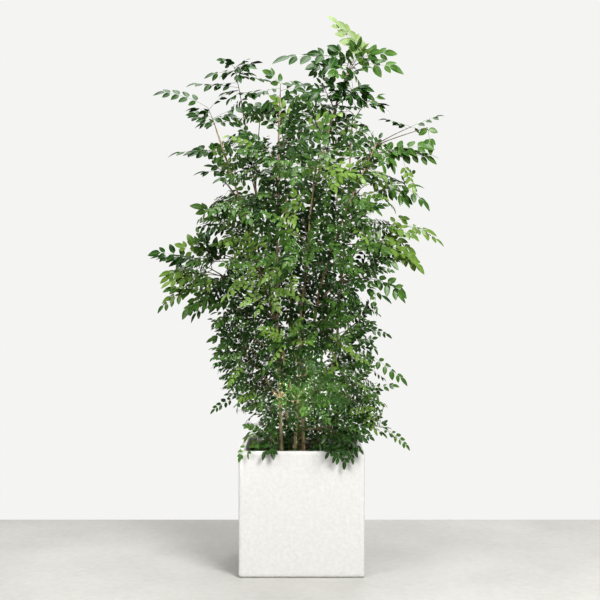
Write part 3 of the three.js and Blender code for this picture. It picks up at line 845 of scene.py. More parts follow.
class Strands:
    """Slender round limbs, gathered into one mesh."""

    UPRIGHT = 0.9

    def __init__(self, sides: int) -> None:
        """Starts with no strands.

        Args:
            sides: The sides of each strand.
        """
        self.sides = sides
        self.points: list[np.ndarray] = []
        self.faces: list[tuple[int, ...]] = []
        self.count = 0

    def add(self, line: np.ndarray, radii: np.ndarray) -> None:
        """Adds a strand along a line, closed at both ends.

        Args:
            line: The middles of its rings.
            radii: The radius at each ring.
        """
        along = np.gradient(line, axis=0)
        along /= np.linalg.norm(along, axis=1)[:, None]
        aside = UP if abs(along[0][2]) < self.UPRIGHT else -WINDOW
        upper = aside - along * (along @ aside)[:, None]
        upper /= np.linalg.norm(upper, axis=1)[:, None]
        across = np.cross(along, upper)
        angles = np.arange(self.sides) * 2 * math.pi / self.sides
        ring = upper[:, None] * np.cos(angles)[:, None] + across[:, None] * np.sin(angles)[:, None]
        self.points.append((line[:, None] + ring * radii[:, None, None]).reshape(-1, 3))
        rows = len(line)
        for row in range(rows - 1):
            near = self.count + row * self.sides
            for side in range(self.sides):
                after = (side + 1) % self.sides
                self.faces.append((near + side, near + after, near + self.sides + after, near + self.sides + side))
        self.faces.append(tuple(self.count + side for side in reversed(range(self.sides))))
        last = self.count + (rows - 1) * self.sides
        self.faces.append(tuple(last + side for side in range(self.sides)))
        self.count += rows * self.sides

    def piece(self, name: str) -> Piece:
        """Makes the gathered strands one object."""
        return new_piece(name, np.concatenate(self.points), self.faces)


class Blades:
    """Leaflets of one tone, gathered into one mesh. Each is a folded, drooping blade with a pointed tip.

    SPINE is its corners at the foot, middle and tip of the midrib, and HEART the two between them.
    """

    STATIONS = np.array([0.0, 0.09, 0.25, 0.43, 0.64, 0.84, 1.0])
    HALVES = np.array([0.0, 0.08, 0.42, 0.5, 0.46, 0.26, 0.0])
    SPINE = [0, 8, 16]
    HEART = [5, 11]
    FOLD = 0.2
    AREA = 0.68
    EDGE_ON = 0.3
    MOST = 9000

    def __init__(self) -> None:
        """Lays out one leaflet: its corners across, along and aside, and its faces."""
        widths = zip(self.STATIONS[1:-1], self.HALVES[1:-1])
        inner = [(side * half, share) for share, half in widths for side in (-1, 0, 1)]
        self.outline = np.array([(0.0, 0.0), *inner, (0.0, 1.0)])
        rows = len(self.STATIONS) - 2
        tip = 3 * rows + 1
        self.pattern: list[tuple[int, ...]] = [(0, 3, 2), (0, 2, 1)]
        for row in range(rows - 1):
            left, middle, right = (1 + 3 * row + side for side in range(3))
            self.pattern.append((middle, right, right + 3, middle + 3))
            self.pattern.append((left, middle, middle + 3, left + 3))
        self.pattern.append((tip - 2, tip - 1, tip))
        self.pattern.append((tip - 3, tip - 2, tip))
        self.points: list[np.ndarray] = []

    def shape(
        self, root: Point, heading: Point, upper: Point, length: float, width: float, droop: float, sweep: Point
    ) -> np.ndarray:
        """Works out a leaflet's corners.

        Args:
            root: Where it leaves the rachis.
            heading: The way it runs.
            upper: The way its upper side faces.
            length: Its length.
            width: Its full width.
            droop: How far its tip hangs, as a share of its length.
            sweep: The way its tip curves aside, at that share of its length.

        Returns:
            The corners, in millimetres.
        """
        side, share = self.outline[:, :1], self.outline[:, 1:]
        across = unit(np.cross(heading, upper))
        normal = np.cross(across, heading)
        fold = np.abs(side) * width * self.FOLD
        hang = droop * length * share**2
        flat = root + heading * share * length + across * side * width
        return flat + normal * (fold - hang) + sweep * length * share**2

    def pieces(self, name: str) -> list[Piece]:
        """Makes the gathered leaflets objects of a limited size, with a map across and along each leaflet.

        Args:
            name: What the objects are called, before their numbers.

        Returns:
            The objects.
        """
        size = len(self.outline)
        spots = np.stack([self.outline[:, 0] + 0.5, self.outline[:, 1]], 1)
        corners = np.concatenate([spots[list(face)] for face in self.pattern])
        made = []
        for first in range(0, len(self.points), self.MOST):
            batch = self.points[first : first + self.MOST]
            starts = range(0, len(batch) * size, size)
            faces = [tuple(start + corner for corner in face) for start in starts for face in self.pattern]
            piece = new_piece(f"{name}_{len(made) + 1}", np.concatenate(batch), faces)
            layer = piece.data.uv_layers.new(name="blade")
            layer.uv.foreach_set("vector", np.tile(corners, (len(batch), 1)).ravel().astype(np.float32))
            made.append(piece)
        return made


# ---- Finishes ----


class Nodes:
    """A short hand for the nodes of one material or group."""

    def __init__(self, tree: bpy.types.NodeTree) -> None:
        """Works on a node tree."""
        self.tree = tree

    def add(self, kind: str, values: Optional[dict[str | int, object]] = None, **settings: object) -> bpy.types.Node:
        """Adds a node.

        Args:
            kind: The node's type.
            values: What its sockets are set to, by name or number.
            settings: What its own properties are set to.

        Returns:
            The node.
        """
        node = self.tree.nodes.new(kind)
        for name, value in settings.items():
            setattr(node, name, value)
        self.fill(node, values or {})
        return node

    def fill(self, node: bpy.types.Node, values: dict[str | int, object]) -> None:
        """Sets a node's sockets, by name or number."""
        for name, value in values.items():
            node.inputs[name].default_value = value

    def link(self, start: bpy.types.Node, out: str, end: bpy.types.Node, into: str | int) -> None:
        """Joins a node's output to another's input, each by its name or number."""
        self.tree.links.new(start.outputs[out], end.inputs[into])

    def mix(self, colour: Socket, other: Colour, share: Socket) -> Socket:
        """Mixes a plain colour into another.

        Args:
            colour: The socket of the colour that it is mixed into.
            other: The plain colour.
            share: The socket of its share.

        Returns:
            The socket of the mixed colour.
        """
        mix = self.add("ShaderNodeMix", {OTHER: rgba(other)}, data_type="RGBA")
        self.tree.links.new(share, mix.inputs["Factor"])
        self.tree.links.new(colour, mix.inputs[MAIN])
        return mix.outputs[MIXED]


def rgba(colour: Colour) -> Quad:
    """Returns a colour with full cover."""
    return (*colour, 1.0)


def speckle_group() -> bpy.types.NodeTree:
    """Builds the group that mottles a colour in two grains, once.

    Its inputs are the place, the two colours and the scale of each grain. Its outputs are the colour and a height.

    Returns:
        The group's tree.
    """
    name, broad_share, window = "speckle", 0.55, (0.36, 0.64)
    if name in bpy.data.node_groups:
        return bpy.data.node_groups[name]
    tree = bpy.data.node_groups.new(name, "ShaderNodeTree")
    face = tree.interface
    face.new_socket("Place", in_out="INPUT", socket_type="NodeSocketVector")
    for label in ("Main", "Fleck"):
        face.new_socket(label, in_out="INPUT", socket_type="NodeSocketColor")
    for label in ("Broad", "Fine"):
        face.new_socket(label, in_out="INPUT", socket_type="NodeSocketFloat")
    face.new_socket("Colour", in_out="OUTPUT", socket_type="NodeSocketColor")
    face.new_socket("Height", in_out="OUTPUT", socket_type="NodeSocketFloat")
    nodes = Nodes(tree)
    given, told = nodes.add("NodeGroupInput"), nodes.add("NodeGroupOutput")
    broad = nodes.add("ShaderNodeTexNoise", {"Detail": 3.0, "Roughness": 0.55})
    fine = nodes.add("ShaderNodeTexNoise", {"Detail": 4.0, "Roughness": 0.65})
    blend = nodes.add("ShaderNodeMath", {1: broad_share}, operation="MULTIPLY_ADD")
    rest = nodes.add("ShaderNodeMath", {1: 1.0 - broad_share}, operation="MULTIPLY")
    mask = nodes.add("ShaderNodeMapRange", {"From Min": window[0], "From Max": window[1]})
    mix = nodes.add("ShaderNodeMix", data_type="RGBA")
    for texture, label in ((broad, "Broad"), (fine, "Fine")):
        nodes.link(given, "Place", texture, "Vector")
        nodes.link(given, label, texture, "Scale")
    nodes.link(fine, "Fac", rest, 0)
    nodes.link(broad, "Fac", blend, 0)
    nodes.link(rest, "Value", blend, 2)
    nodes.link(blend, "Value", mask, "Value")
    nodes.link(mask, "Result", mix, "Factor")
    nodes.link(given, "Main", mix, MAIN)
    nodes.link(given, "Fleck", mix, OTHER)
    nodes.link(mix, MIXED, told, "Colour")
    nodes.link(fine, "Fac", told, "Height")
    return tree


@dataclass(frozen=True)
class Finish:
    """A mottled finish with a grain in relief: the base of every other finish."""

    name: str
    main: Colour
    fleck: Colour
    broad: float = 20.0
    fine: float = 200.0
    stretch: Triple = (1.0, 1.0, 1.0)
    rough: float = 0.8
    shine: float = 0.5
    relief: float = 0.3
    depth: float = 0.0005

    def material(self) -> bpy.types.Material:
        """Builds the material, or returns it if it is built already.

        Returns:
            A material on Object coordinates.
        """
        if self.name in bpy.data.materials:
            return bpy.data.materials[self.name]
        made = bpy.data.materials.new(self.name)
        made.use_nodes = True
        nodes = Nodes(made.node_tree)
        shader = made.node_tree.nodes["Principled BSDF"]
        nodes.fill(shader, {"Roughness": self.rough, "Specular IOR Level": self.shine})
        place = nodes.add("ShaderNodeTexCoord")
        stretched = nodes.add("ShaderNodeMapping", {"Scale": self.stretch})
        speckle = nodes.add("ShaderNodeGroup", node_tree=speckle_group())
        nodes.fill(speckle, {"Main": rgba(self.main), "Fleck": rgba(self.fleck)})
        nodes.fill(speckle, {"Broad": self.broad, "Fine": self.fine})
        bump = nodes.add("ShaderNodeBump", {"Strength": self.relief, "Distance": self.depth})
        nodes.link(place, "Object", stretched, "Vector")
        nodes.link(stretched, "Vector", speckle, "Place")
        nodes.link(speckle, "Height", bump, "Height")
        nodes.link(bump, "Normal", shader, "Normal")
        made.node_tree.links.new(self.shade(nodes, speckle.outputs["Colour"]), shader.inputs["Base Color"])
        return made

    def shade(self, nodes: Nodes, colour: Socket) -> Socket:
        """Returns the socket with the final colour. A plain finish takes the mottled one."""
        return colour

    def dress(self, piece: Piece) -> None:
        """Gives a piece this finish all over."""
        piece.data.materials.clear()
        piece.data.materials.append(self.material())


@dataclass(frozen=True)
class LeafFinish(Finish):
    """A glossy leaf, a little paler along its midrib."""

    broad: float = 30.0
    fine: float = 300.0
    rough: float = 0.28
    shine: float = 0.2
    rib: Colour = (0.2, 0.3, 0.1)
    rib_share: float = 0.5
    rib_edge: Pair = (0.01, 0.05)

    def shade(self, nodes: Nodes, colour: Socket) -> Socket:
        """Lightens the colour along the middle of each leaflet, by its own map.

        Args:
            nodes: The material's nodes.
            colour: The socket of the mottled colour.

        Returns:
            The socket of the final colour.
        """
        spot = nodes.add("ShaderNodeUVMap", uv_map="blade")
        parts = nodes.add("ShaderNodeSeparateXYZ")
        middle = nodes.add("ShaderNodeMath", {1: 0.5}, operation="SUBTRACT")
        away = nodes.add("ShaderNodeMath", operation="ABSOLUTE")
        start, end = self.rib_edge
        fading = {"From Min": start, "From Max": end, "To Min": self.rib_share, "To Max": 0.0}
        near = nodes.add("ShaderNodeMapRange", fading)
        nodes.link(spot, "UV", parts, "Vector")
        nodes.link(parts, "X", middle, 0)
        nodes.link(middle, "Value", away, 0)
        nodes.link(away, "Value", near, "Value")
        return nodes.mix(colour, self.rib, near.outputs["Result"])


@dataclass(frozen=True)
class BarkFinish(Finish):
    """Bark that is tan at the foot and turns darker and greener up the stem."""

    young: Colour = (0.034, 0.028, 0.016)
    young_share: float = 0.93
    old_height: float = 0.55
    young_height: float = 1.0

    def shade(self, nodes: Nodes, colour: Socket) -> Socket:
        """Mixes in the young bark's colour by the height on the plant.

        Args:
            nodes: The material's nodes.
            colour: The socket of the mottled colour.

        Returns:
            The socket of the final colour.
        """
        place = nodes.add("ShaderNodeTexCoord")
        parts = nodes.add("ShaderNodeSeparateXYZ")
        rising = {"From Min": self.old_height, "From Max": self.young_height, "To Max": self.young_share}
        high = nodes.add("ShaderNodeMapRange", rising)
        nodes.link(place, "Object", parts, "Vector")
        nodes.link(parts, "Z", high, "Value")
        return nodes.mix(colour, self.young, high.outputs["Result"])


# Deep shade, mid and fresh and lit are darker and lighter leaf colours that paint shade and light; young is the real
# colour of new leaves, and pale adds painted light shining through it
LEAVES = {
    Tone.DEEP: LeafFinish("leaf_deep", (0.005, 0.024, 0.003), (0.028, 0.082, 0.014)),
    Tone.MID: LeafFinish("leaf_mid", (0.018, 0.062, 0.007), (0.085, 0.170, 0.034)),
    Tone.FRESH: LeafFinish("leaf_fresh", (0.060, 0.122, 0.012), (0.165, 0.260, 0.050), rough=0.32, shine=0.24),
    Tone.YOUNG: LeafFinish(
        "leaf_young", (0.130, 0.235, 0.040), (0.200, 0.320, 0.075), rough=0.4, shine=0.3, rib=(0.28, 0.40, 0.12)
    ),
    Tone.PALE: LeafFinish("leaf_pale", (0.15, 0.22, 0.07), (0.25, 0.33, 0.14), rough=0.45, rib=(0.30, 0.38, 0.18)),
}
# The bark's tan is its real colour made lighter, painted light on the stems that the crown shades
BARK = BarkFinish("bark", (0.62, 0.50, 0.35), (0.92, 0.85, 0.70), 60, 420, (1.0, 1.0, 0.22), 0.75, 0.3, 0.5, 0.0008)
TWIG = Finish("twig", (0.065, 0.055, 0.025), (0.13, 0.110, 0.055), 60, 500, (1.0, 1.0, 0.4), 0.6, 0.4, 0.3, 0.0004)
STALK = Finish("stalk", (0.060, 0.100, 0.022), (0.10, 0.150, 0.040), 40, 300, rough=0.5, relief=0.1)
STUCCO = Finish(
    "stucco", (0.655, 0.651, 0.630), (0.575, 0.569, 0.548), 90, 700, rough=0.9, shine=0.25, relief=0.6, depth=0.0012
)
EARTH = Finish(
    "earth", (0.020, 0.012, 0.007), (0.075, 0.045, 0.025), 70, 500, rough=0.95, shine=0.2, relief=0.8, depth=0.002
)
FLOOR = Finish("floor", (0.420, 0.411, 0.388), (0.489, 0.481, 0.457), 3, 40, rough=0.7, shine=0.3, relief=0.1)


# ---- Tools for modelling by hand ----

# Edges sharper than this are rounded, and shading breaks over edges sharper than these on hard and soft pieces
ROUNDED, HARD, SOFT = math.radians(40), math.radians(35), math.radians(60)


def deselect_all() -> None:
    """Leaves nothing selected and no piece in edit mode."""
    if bpy.context.object and bpy.context.object.mode != "OBJECT":
        bpy.ops.object.mode_set(mode="OBJECT")
    bpy.ops.object.select_all(action="DESELECT")


def take_up(piece: Piece) -> None:
    """Makes a piece the only one selected, and the active one.

    Args:
        piece: The piece.
    """
    deselect_all()
    piece.select_set(True)
    bpy.context.view_layer.objects.active = piece


def pick_faces(piece: Piece, chosen: Callable[[bpy.types.MeshPolygon], bool]) -> None:
    """Selects faces in code, with the piece left in object mode.

    Args:
        piece: The piece.
        chosen: Says of each face whether it is picked.
    """
    bpy.ops.object.mode_set(mode="EDIT")
    bpy.ops.mesh.select_mode(type="FACE")
    bpy.ops.mesh.select_all(action="DESELECT")
    bpy.ops.object.mode_set(mode="OBJECT")
    for face in piece.data.polygons:
        face.select = chosen(face)


def settle(piece: Piece) -> None:
    """Applies a piece's place, turn and scale to its mesh, so that its object sits at the origin."""
    take_up(piece)
    bpy.ops.object.transform_apply(location=True, rotation=True, scale=True)


def box_piece(name: str, size: Triple, bottom: float) -> Piece:
    """Adds a box that stands on a height.

    Args:
        name: The piece's name.
        size: Its width, depth and height in millimetres.
        bottom: The height of its underside.

    Returns:
        The object, with its place applied.
    """
    deselect_all()
    bpy.ops.mesh.primitive_cube_add(size=1.0, location=(0, 0, (bottom + size[2] / 2) * MM))
    piece = bpy.context.object
    piece.name = piece.data.name = name
    piece.scale = tuple(side * MM for side in size)
    settle(piece)
    return piece


def bevel_piece(piece: Piece, width: float, segments: int) -> None:
    """Rounds a piece's sharp edges with a bevel modifier, applied.

    Args:
        piece: The piece.
        width: The bevel's width in millimetres.
        segments: The steps of the rounding.
    """
    take_up(piece)
    bevel = piece.modifiers.new("rounding", "BEVEL")
    bevel.width = width * MM
    bevel.segments = segments
    bevel.limit_method = "ANGLE"
    bevel.angle_limit = ROUNDED
    bpy.ops.object.modifier_apply(modifier=bevel.name)


def score_piece(piece: Piece, axis: int, places: Iterable[float]) -> None:
    """Cuts every face of a piece along planes square to an axis.

    Args:
        piece: The piece.
        axis: 0, 1 or 2.
        places: Where the planes cross the axis, in millimetres.
    """
    take_up(piece)
    normal = [0.0, 0.0, 0.0]
    normal[axis] = 1.0
    bpy.ops.object.mode_set(mode="EDIT")
    for place in places:
        spot = [0.0, 0.0, 0.0]
        spot[axis] = place * MM
        bpy.ops.mesh.select_all(action="SELECT")
        bpy.ops.mesh.bisect(plane_co=spot, plane_no=normal)
    bpy.ops.object.mode_set(mode="OBJECT")


def roughen(piece: Piece, depth: Callable[[Vector], float]) -> None:
    """Moves each vertex along its normal.

    Args:
        piece: The piece.
        depth: How far a point moves, in millimetres, from its place in millimetres.
    """
    moved = [v.co + v.normal * depth(v.co / MM) * MM for v in piece.data.vertices]
    piece.data.vertices.foreach_set("co", [number for point in moved for number in point])
    piece.data.update()


def wander(point: Vector, grain: float, seed: float = 0.0) -> float:
    """Returns smooth noise between about -1 and 1 at a point, for a grain in millimetres."""
    return noise.noise(point / grain + Vector((seed, seed, seed)))


def rolling(point: Vector, waves: tuple[Triple, ...]) -> float:
    """Returns the sum of several noises at a point, each given by its share, its grain and its seed."""
    return sum(share * wander(point, grain, seed) for share, grain, seed in waves)


def smooth_shade(piece: Piece, angle: float = HARD) -> None:
    """Shades a piece smooth, except over edges sharper than an angle."""
    take_up(piece)
    bpy.ops.object.shade_smooth_by_angle(angle=angle)


# ---- Sub-assemblies ----


@dataclass
class Planter:
    """The stucco planter: an open box with rounded edges and an uneven coat."""

    sizes: PotSizes = POT
    grid: float = 7.0
    unevenness: float = 0.55
    waves: tuple[Triple, ...] = ((0.7, 22.0, 0.0), (0.5, 9.0, 7.0))
    flat_below: float = 1.0
    piece: Optional[Piece] = None

    def build(self) -> None:
        """Models the box, hollows it, rounds it and gives its coat relief."""
        sizes = self.sizes
        piece = box_piece("planter_shell", (sizes.side, sizes.side, sizes.height), 0.0)
        pick_faces(piece, lambda face: face.normal.z > 0.5)
        bpy.ops.object.mode_set(mode="EDIT")
        bpy.ops.mesh.inset(thickness=sizes.wall * MM)
        drop = (sizes.floor - sizes.height) * MM
        bpy.ops.mesh.extrude_region_move(TRANSFORM_OT_translate={"value": (0, 0, drop)})
        bpy.ops.object.mode_set(mode="OBJECT")
        bevel_piece(piece, sizes.edge, sizes.edge_steps)
        half = sizes.side / 2 - sizes.edge
        across = np.linspace(-half, half, int(2 * half / self.grid))
        upright = np.linspace(sizes.edge, sizes.height - sizes.edge, int(sizes.height / self.grid))
        for axis, places in ((0, across), (1, across), (2, upright)):
            score_piece(piece, axis, places)
        roughen(piece, self.coat)
        smooth_shade(piece)
        self.piece = piece

    def coat(self, point: Vector) -> float:
        """Works out how proud the coat stands. The underside stays flat.

        Args:
            point: A point of the planter's surface, in millimetres.

        Returns:
            The height of the coat there, in millimetres.
        """
        if point.z < self.flat_below:
            return 0.0
        return self.unevenness * rolling(point, self.waves)

    def dress(self) -> None:
        """Gives the planter its finish and sets it in place of its solid."""
        STUCCO.dress(self.piece)
        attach(self.piece, "root")
        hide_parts("planter")


@dataclass
class SoilBed:
    """The soil: a block with a crumbly top, and clods strewn on it."""

    sizes: PotSizes = POT
    grid: float = 6.0
    crumb: float = 2.6
    waves: tuple[Triple, ...] = ((0.6, 30.0, 0.0), (0.4, 11.0, 3.0))
    sunk: float = 2.5
    flat_below: float = 10.0
    flat_rim: float = 1.0
    clods: int = 260
    clod_size: Pair = (1.6, 5.0)
    clod_long: Pair = (0.8, 1.9)
    clod_flat: Pair = (0.4, 0.8)
    clod_lumps: Pair = (0.8, 1.2)
    clod_margin: float = 12.0
    clod_sunk: float = 2.0
    seed: int = 77
    pieces: list[Piece] = field(default_factory=list)

    def build(self) -> None:
        """Models the block of soil and strews the clods."""
        sizes = self.sizes
        side = sizes.side - 2 * sizes.wall - 2 * sizes.clearance
        bottom = sizes.floor + sizes.clearance
        block = box_piece("soil_bed", (side, side, sizes.soil_top - self.sunk - bottom), bottom)
        places = np.linspace(-side / 2, side / 2, int(side / self.grid))[1:-1]
        for axis in (0, 1):
            score_piece(block, axis, places)
        roughen(block, self.crumble)
        smooth_shade(block, SOFT)
        self.pieces = [block, self.strew(side)]

    def crumble(self, point: Vector) -> float:
        """Works out how far the soil's top heaves. The sides and underside stay flat.

        Args:
            point: A point of the block's surface, in millimetres.

        Returns:
            How far it heaves there, in millimetres.
        """
        edge = self.sizes.side / 2 - self.sizes.wall - self.flat_rim
        if point.z < self.sizes.soil_top - self.flat_below or max(abs(point.x), abs(point.y)) > edge:
            return 0.0
        return self.crumb * rolling(point, self.waves)

    def strew(self, side: float) -> Piece:
        """Makes the clods, each a squashed ball with its own turn, as one mesh.

        Args:
            side: The soil's side in millimetres.

        Returns:
            The clods' object.
        """
        deselect_all()
        bpy.ops.mesh.primitive_ico_sphere_add(subdivisions=1, radius=1.0)
        ball = bpy.context.object
        corners = np.array([vertex.co for vertex in ball.data.vertices])
        rows = [tuple(face.vertices) for face in ball.data.polygons]
        bpy.data.objects.remove(ball)
        draws = Draws(self.seed)
        reach, level = side / 2 - self.clod_margin, self.sizes.soil_top - self.clod_sunk
        points, faces = [], []
        for clod in range(self.clods):
            size = draws.between(*self.clod_size)
            shape = np.array([size * draws.between(*self.clod_long), size, size * draws.between(*self.clod_flat)])
            lumps = np.array([draws.between(*self.clod_lumps) for _ in corners])[:, None]
            angle = draws.between(0, math.pi)
            cosine, sine = math.cos(angle), math.sin(angle)
            turn = np.array([[cosine, -sine, 0], [sine, cosine, 0], [0, 0, 1]])
            middle = np.array([draws.between(-reach, reach), draws.between(-reach, reach), level])
            points.append((corners * lumps * shape) @ turn.T + middle)
            faces += [tuple(clod * len(corners) + corner for corner in row) for row in rows]
        return new_piece("soil_clods", np.concatenate(points), faces)

    def dress(self) -> None:
        """Gives the soil its finish and sets it in place of its solid."""
        for piece in self.pieces:
            EARTH.dress(piece)
            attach(piece, "root")
            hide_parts("soil")


@dataclass
class Clump:
    """The stems and boughs, with bark in relief."""

    habit: StemHabit = STEM
    paths: dict[str, Path] = field(default_factory=dict)
    boughs: dict[str, tuple[Path, float]] = field(default_factory=dict)
    pieces: list[tuple[Piece, str]] = field(default_factory=list)

    def grow(self) -> None:
        """Works out where each stem and bough runs."""
        for index, stem in enumerate(STEMS):
            self.paths[stem.name] = self.stem_path(stem, self.habit.seed + index)
        for branch in BRANCHES:
            if branch.bough:
                whole, thick = self.branch_path(branch)
                self.boughs[branch.name] = (whole.stretch(0.0, branch.bough, self.habit.bough_points), thick)

    def stem_path(self, stem: StemPlace, seed: int) -> Path:
        """Draws a stem's centreline: it leans out late, swells sideways and kinks at each knot.

        Args:
            stem: The stem.
            seed: Seeds its kinks.

        Returns:
            The centreline, from below the soil to the tip.
        """
        draws = Draws(seed)
        knots = []
        for step in range(self.habit.knots + 1):
            share = step / self.habit.knots
            leant = share**stem.late
            swollen = math.sin(math.pi * share)
            kinks = [self.habit.kink * swollen * (2 * draws.next() - 1) for _ in range(2)]
            x, y = (
                lerp(foot, tip, leant) + swell * swollen + kink
                for foot, tip, swell, kink in zip(stem.foot, stem.tip, stem.swell, kinks)
            )
            knots.append(np.array([x, y, lerp(POT.soil_top - self.habit.rooted, stem.tip[2], share)]))
        return through_knots(knots)

    def radius_at(self, stem: StemPlace, share: float) -> float:
        """Works out a stem's radius: a taper with a root flare.

        Args:
            stem: The stem.
            share: A share of its length.

        Returns:
            The radius there, in millimetres.
        """
        above = max(0.0, share * self.paths[stem.name].length - self.habit.rooted)
        flare = self.habit.flare * math.exp(-above / self.habit.flare_height)
        return stem.thick / 2 * (1 - self.habit.taper * share + flare)

    def branch_path(self, branch: BranchPlace) -> tuple[Path, float]:
        """Works out where a side branch runs.

        Args:
            branch: The branch.

        Returns:
            Its whole path, and how thick a bough may be where it leaves the stem.
        """
        habit = self.habit
        start, share = self.paths[branch.stem].at_height(branch.at)
        out, up = bearing_of(branch.bearing) * branch.out, UP * branch.up
        thick = min(habit.bough_thick, habit.bough_share * 2 * self.radius_at(STEM_NAMED[branch.stem], share))
        middle = start + out * habit.bend + up * habit.steep
        return bent_between(start, middle, start + out + up, habit.branch_points), thick

    def build(self) -> None:
        """Models every stem and bough."""
        for index, stem in enumerate(STEMS):
            path = self.paths[stem.name]
            piece = self.limb_piece(f"bark_{stem.name}", path, lambda share: self.radius_at(stem, share), index)
            self.pieces.append((piece, f"stem_{stem.name}"))
        for index, (name, (path, thick)) in enumerate(self.boughs.items(), self.habit.bough_seed):
            piece = self.limb_piece(
                f"limb_{name}", path, lambda share: thick / 2 * (1 - self.habit.bough_taper * share), index
            )
            self.pieces.append((piece, f"bough_{name}"))

    def limb_piece(self, name: str, path: Path, radius: Callable[[float], float], seed: int) -> Piece:
        """Models a limb as a bevelled curve, then makes it a mesh with bark in relief.

        Args:
            name: The piece's name.
            path: Its centreline.
            radius: Its radius at a share of the length.
            seed: Shifts the relief from limb to limb.

        Returns:
            The limb's object.
        """
        habit = self.habit
        start = 0.5 * habit.rooted / path.length if name.startswith("bark") else 0.0
        shares = np.linspace(start, 1.0, int(path.length / habit.ring_gap) + 2)
        deselect_all()
        bpy.ops.curve.primitive_nurbs_path_add()
        piece = bpy.context.object
        piece.name = piece.data.name = name
        curve = piece.data
        curve.splines.clear()
        spline = curve.splines.new("POLY")
        spline.points.add(len(shares) - 1)
        for point, share, place in zip(spline.points, shares, path.many(shares) * MM):
            swell = math.cos(2 * math.pi * share * path.length / habit.node_gap + seed)
            node = 1 + habit.node_swell * max(0.0, swell) ** habit.node_sharpness
            point.co = (*place, 1.0)
            point.radius = radius(float(share)) * node * habit.slim
        curve.bevel_depth = MM
        curve.bevel_resolution = (habit.sides - 4) // 2
        curve.use_fill_caps = True
        bpy.ops.object.convert(target="MESH")
        bpy.ops.object.mode_set(mode="EDIT")
        bpy.ops.mesh.select_all(action="SELECT")
        bpy.ops.mesh.remove_doubles(threshold=WELD)
        bpy.ops.mesh.normals_make_consistent(inside=False)
        bpy.ops.object.mode_set(mode="OBJECT")
        roughen(piece, lambda point: self.relief(point, seed))
        smooth_shade(piece, SOFT)
        return piece

    def relief(self, point: Vector, seed: int) -> float:
        """Works out how proud the bark stands: fine ridges drawn out along the limb, over a broader grain.

        Args:
            point: A point of the limb's surface, in millimetres.
            seed: Shifts the relief from limb to limb.

        Returns:
            The height of the bark there, in millimetres.
        """
        drawn = Vector((point.x, point.y, point.z / self.habit.grain_stretch))
        fine = self.habit.bark_depth * wander(drawn, self.habit.fine_grain, seed)
        return fine + self.habit.bark_depth * wander(point, self.habit.broad_grain, seed)

    def dress(self) -> None:
        """Gives stems and boughs their bark and sets each in place of its solid."""
        for piece, node in self.pieces:
            BARK.dress(piece)
            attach(piece, "root")
            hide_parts(node)


@dataclass
class Mass:
    """One mass of foliage: its name, its twig's path and thickness, and its pairs of shoots."""

    name: str
    path: Path
    thick: float
    pairs: int


class Cover:
    """How many layers of leaf stand one behind another at each place, as seen from the front."""

    CELL = 22.0
    CORNER = np.array([-540.0, 300.0])
    SHAPE = (49, 68)

    def __init__(self) -> None:
        """Starts with nothing covered."""
        self.layers = np.zeros(self.SHAPE)

    def cells(self, seen: np.ndarray) -> tuple[np.ndarray, np.ndarray]:
        """Returns the cells that places lie in, given across and by height as seen."""
        found = ((seen - self.CORNER) / self.CELL).astype(int)
        return np.clip(found[:, 0], 0, self.SHAPE[0] - 1), np.clip(found[:, 1], 0, self.SHAPE[1] - 1)

    def add(self, seen: np.ndarray, area: float) -> None:
        """Adds a leaflet's area, shared between the places given."""
        for across, high in zip(*self.cells(seen)):
            self.layers[across, high] += area / self.CELL**2 / len(seen)

    def mean(self, seen: np.ndarray) -> float:
        """Returns the mean number of layers at the places given."""
        return float(self.layers[self.cells(seen)].mean())

    def middles(self) -> list[Point]:
        """Returns the middle of every cell."""
        across, high = self.SHAPE
        return [self.CORNER + (np.array([i, j]) + 0.5) * self.CELL for i in range(across) for j in range(high)]


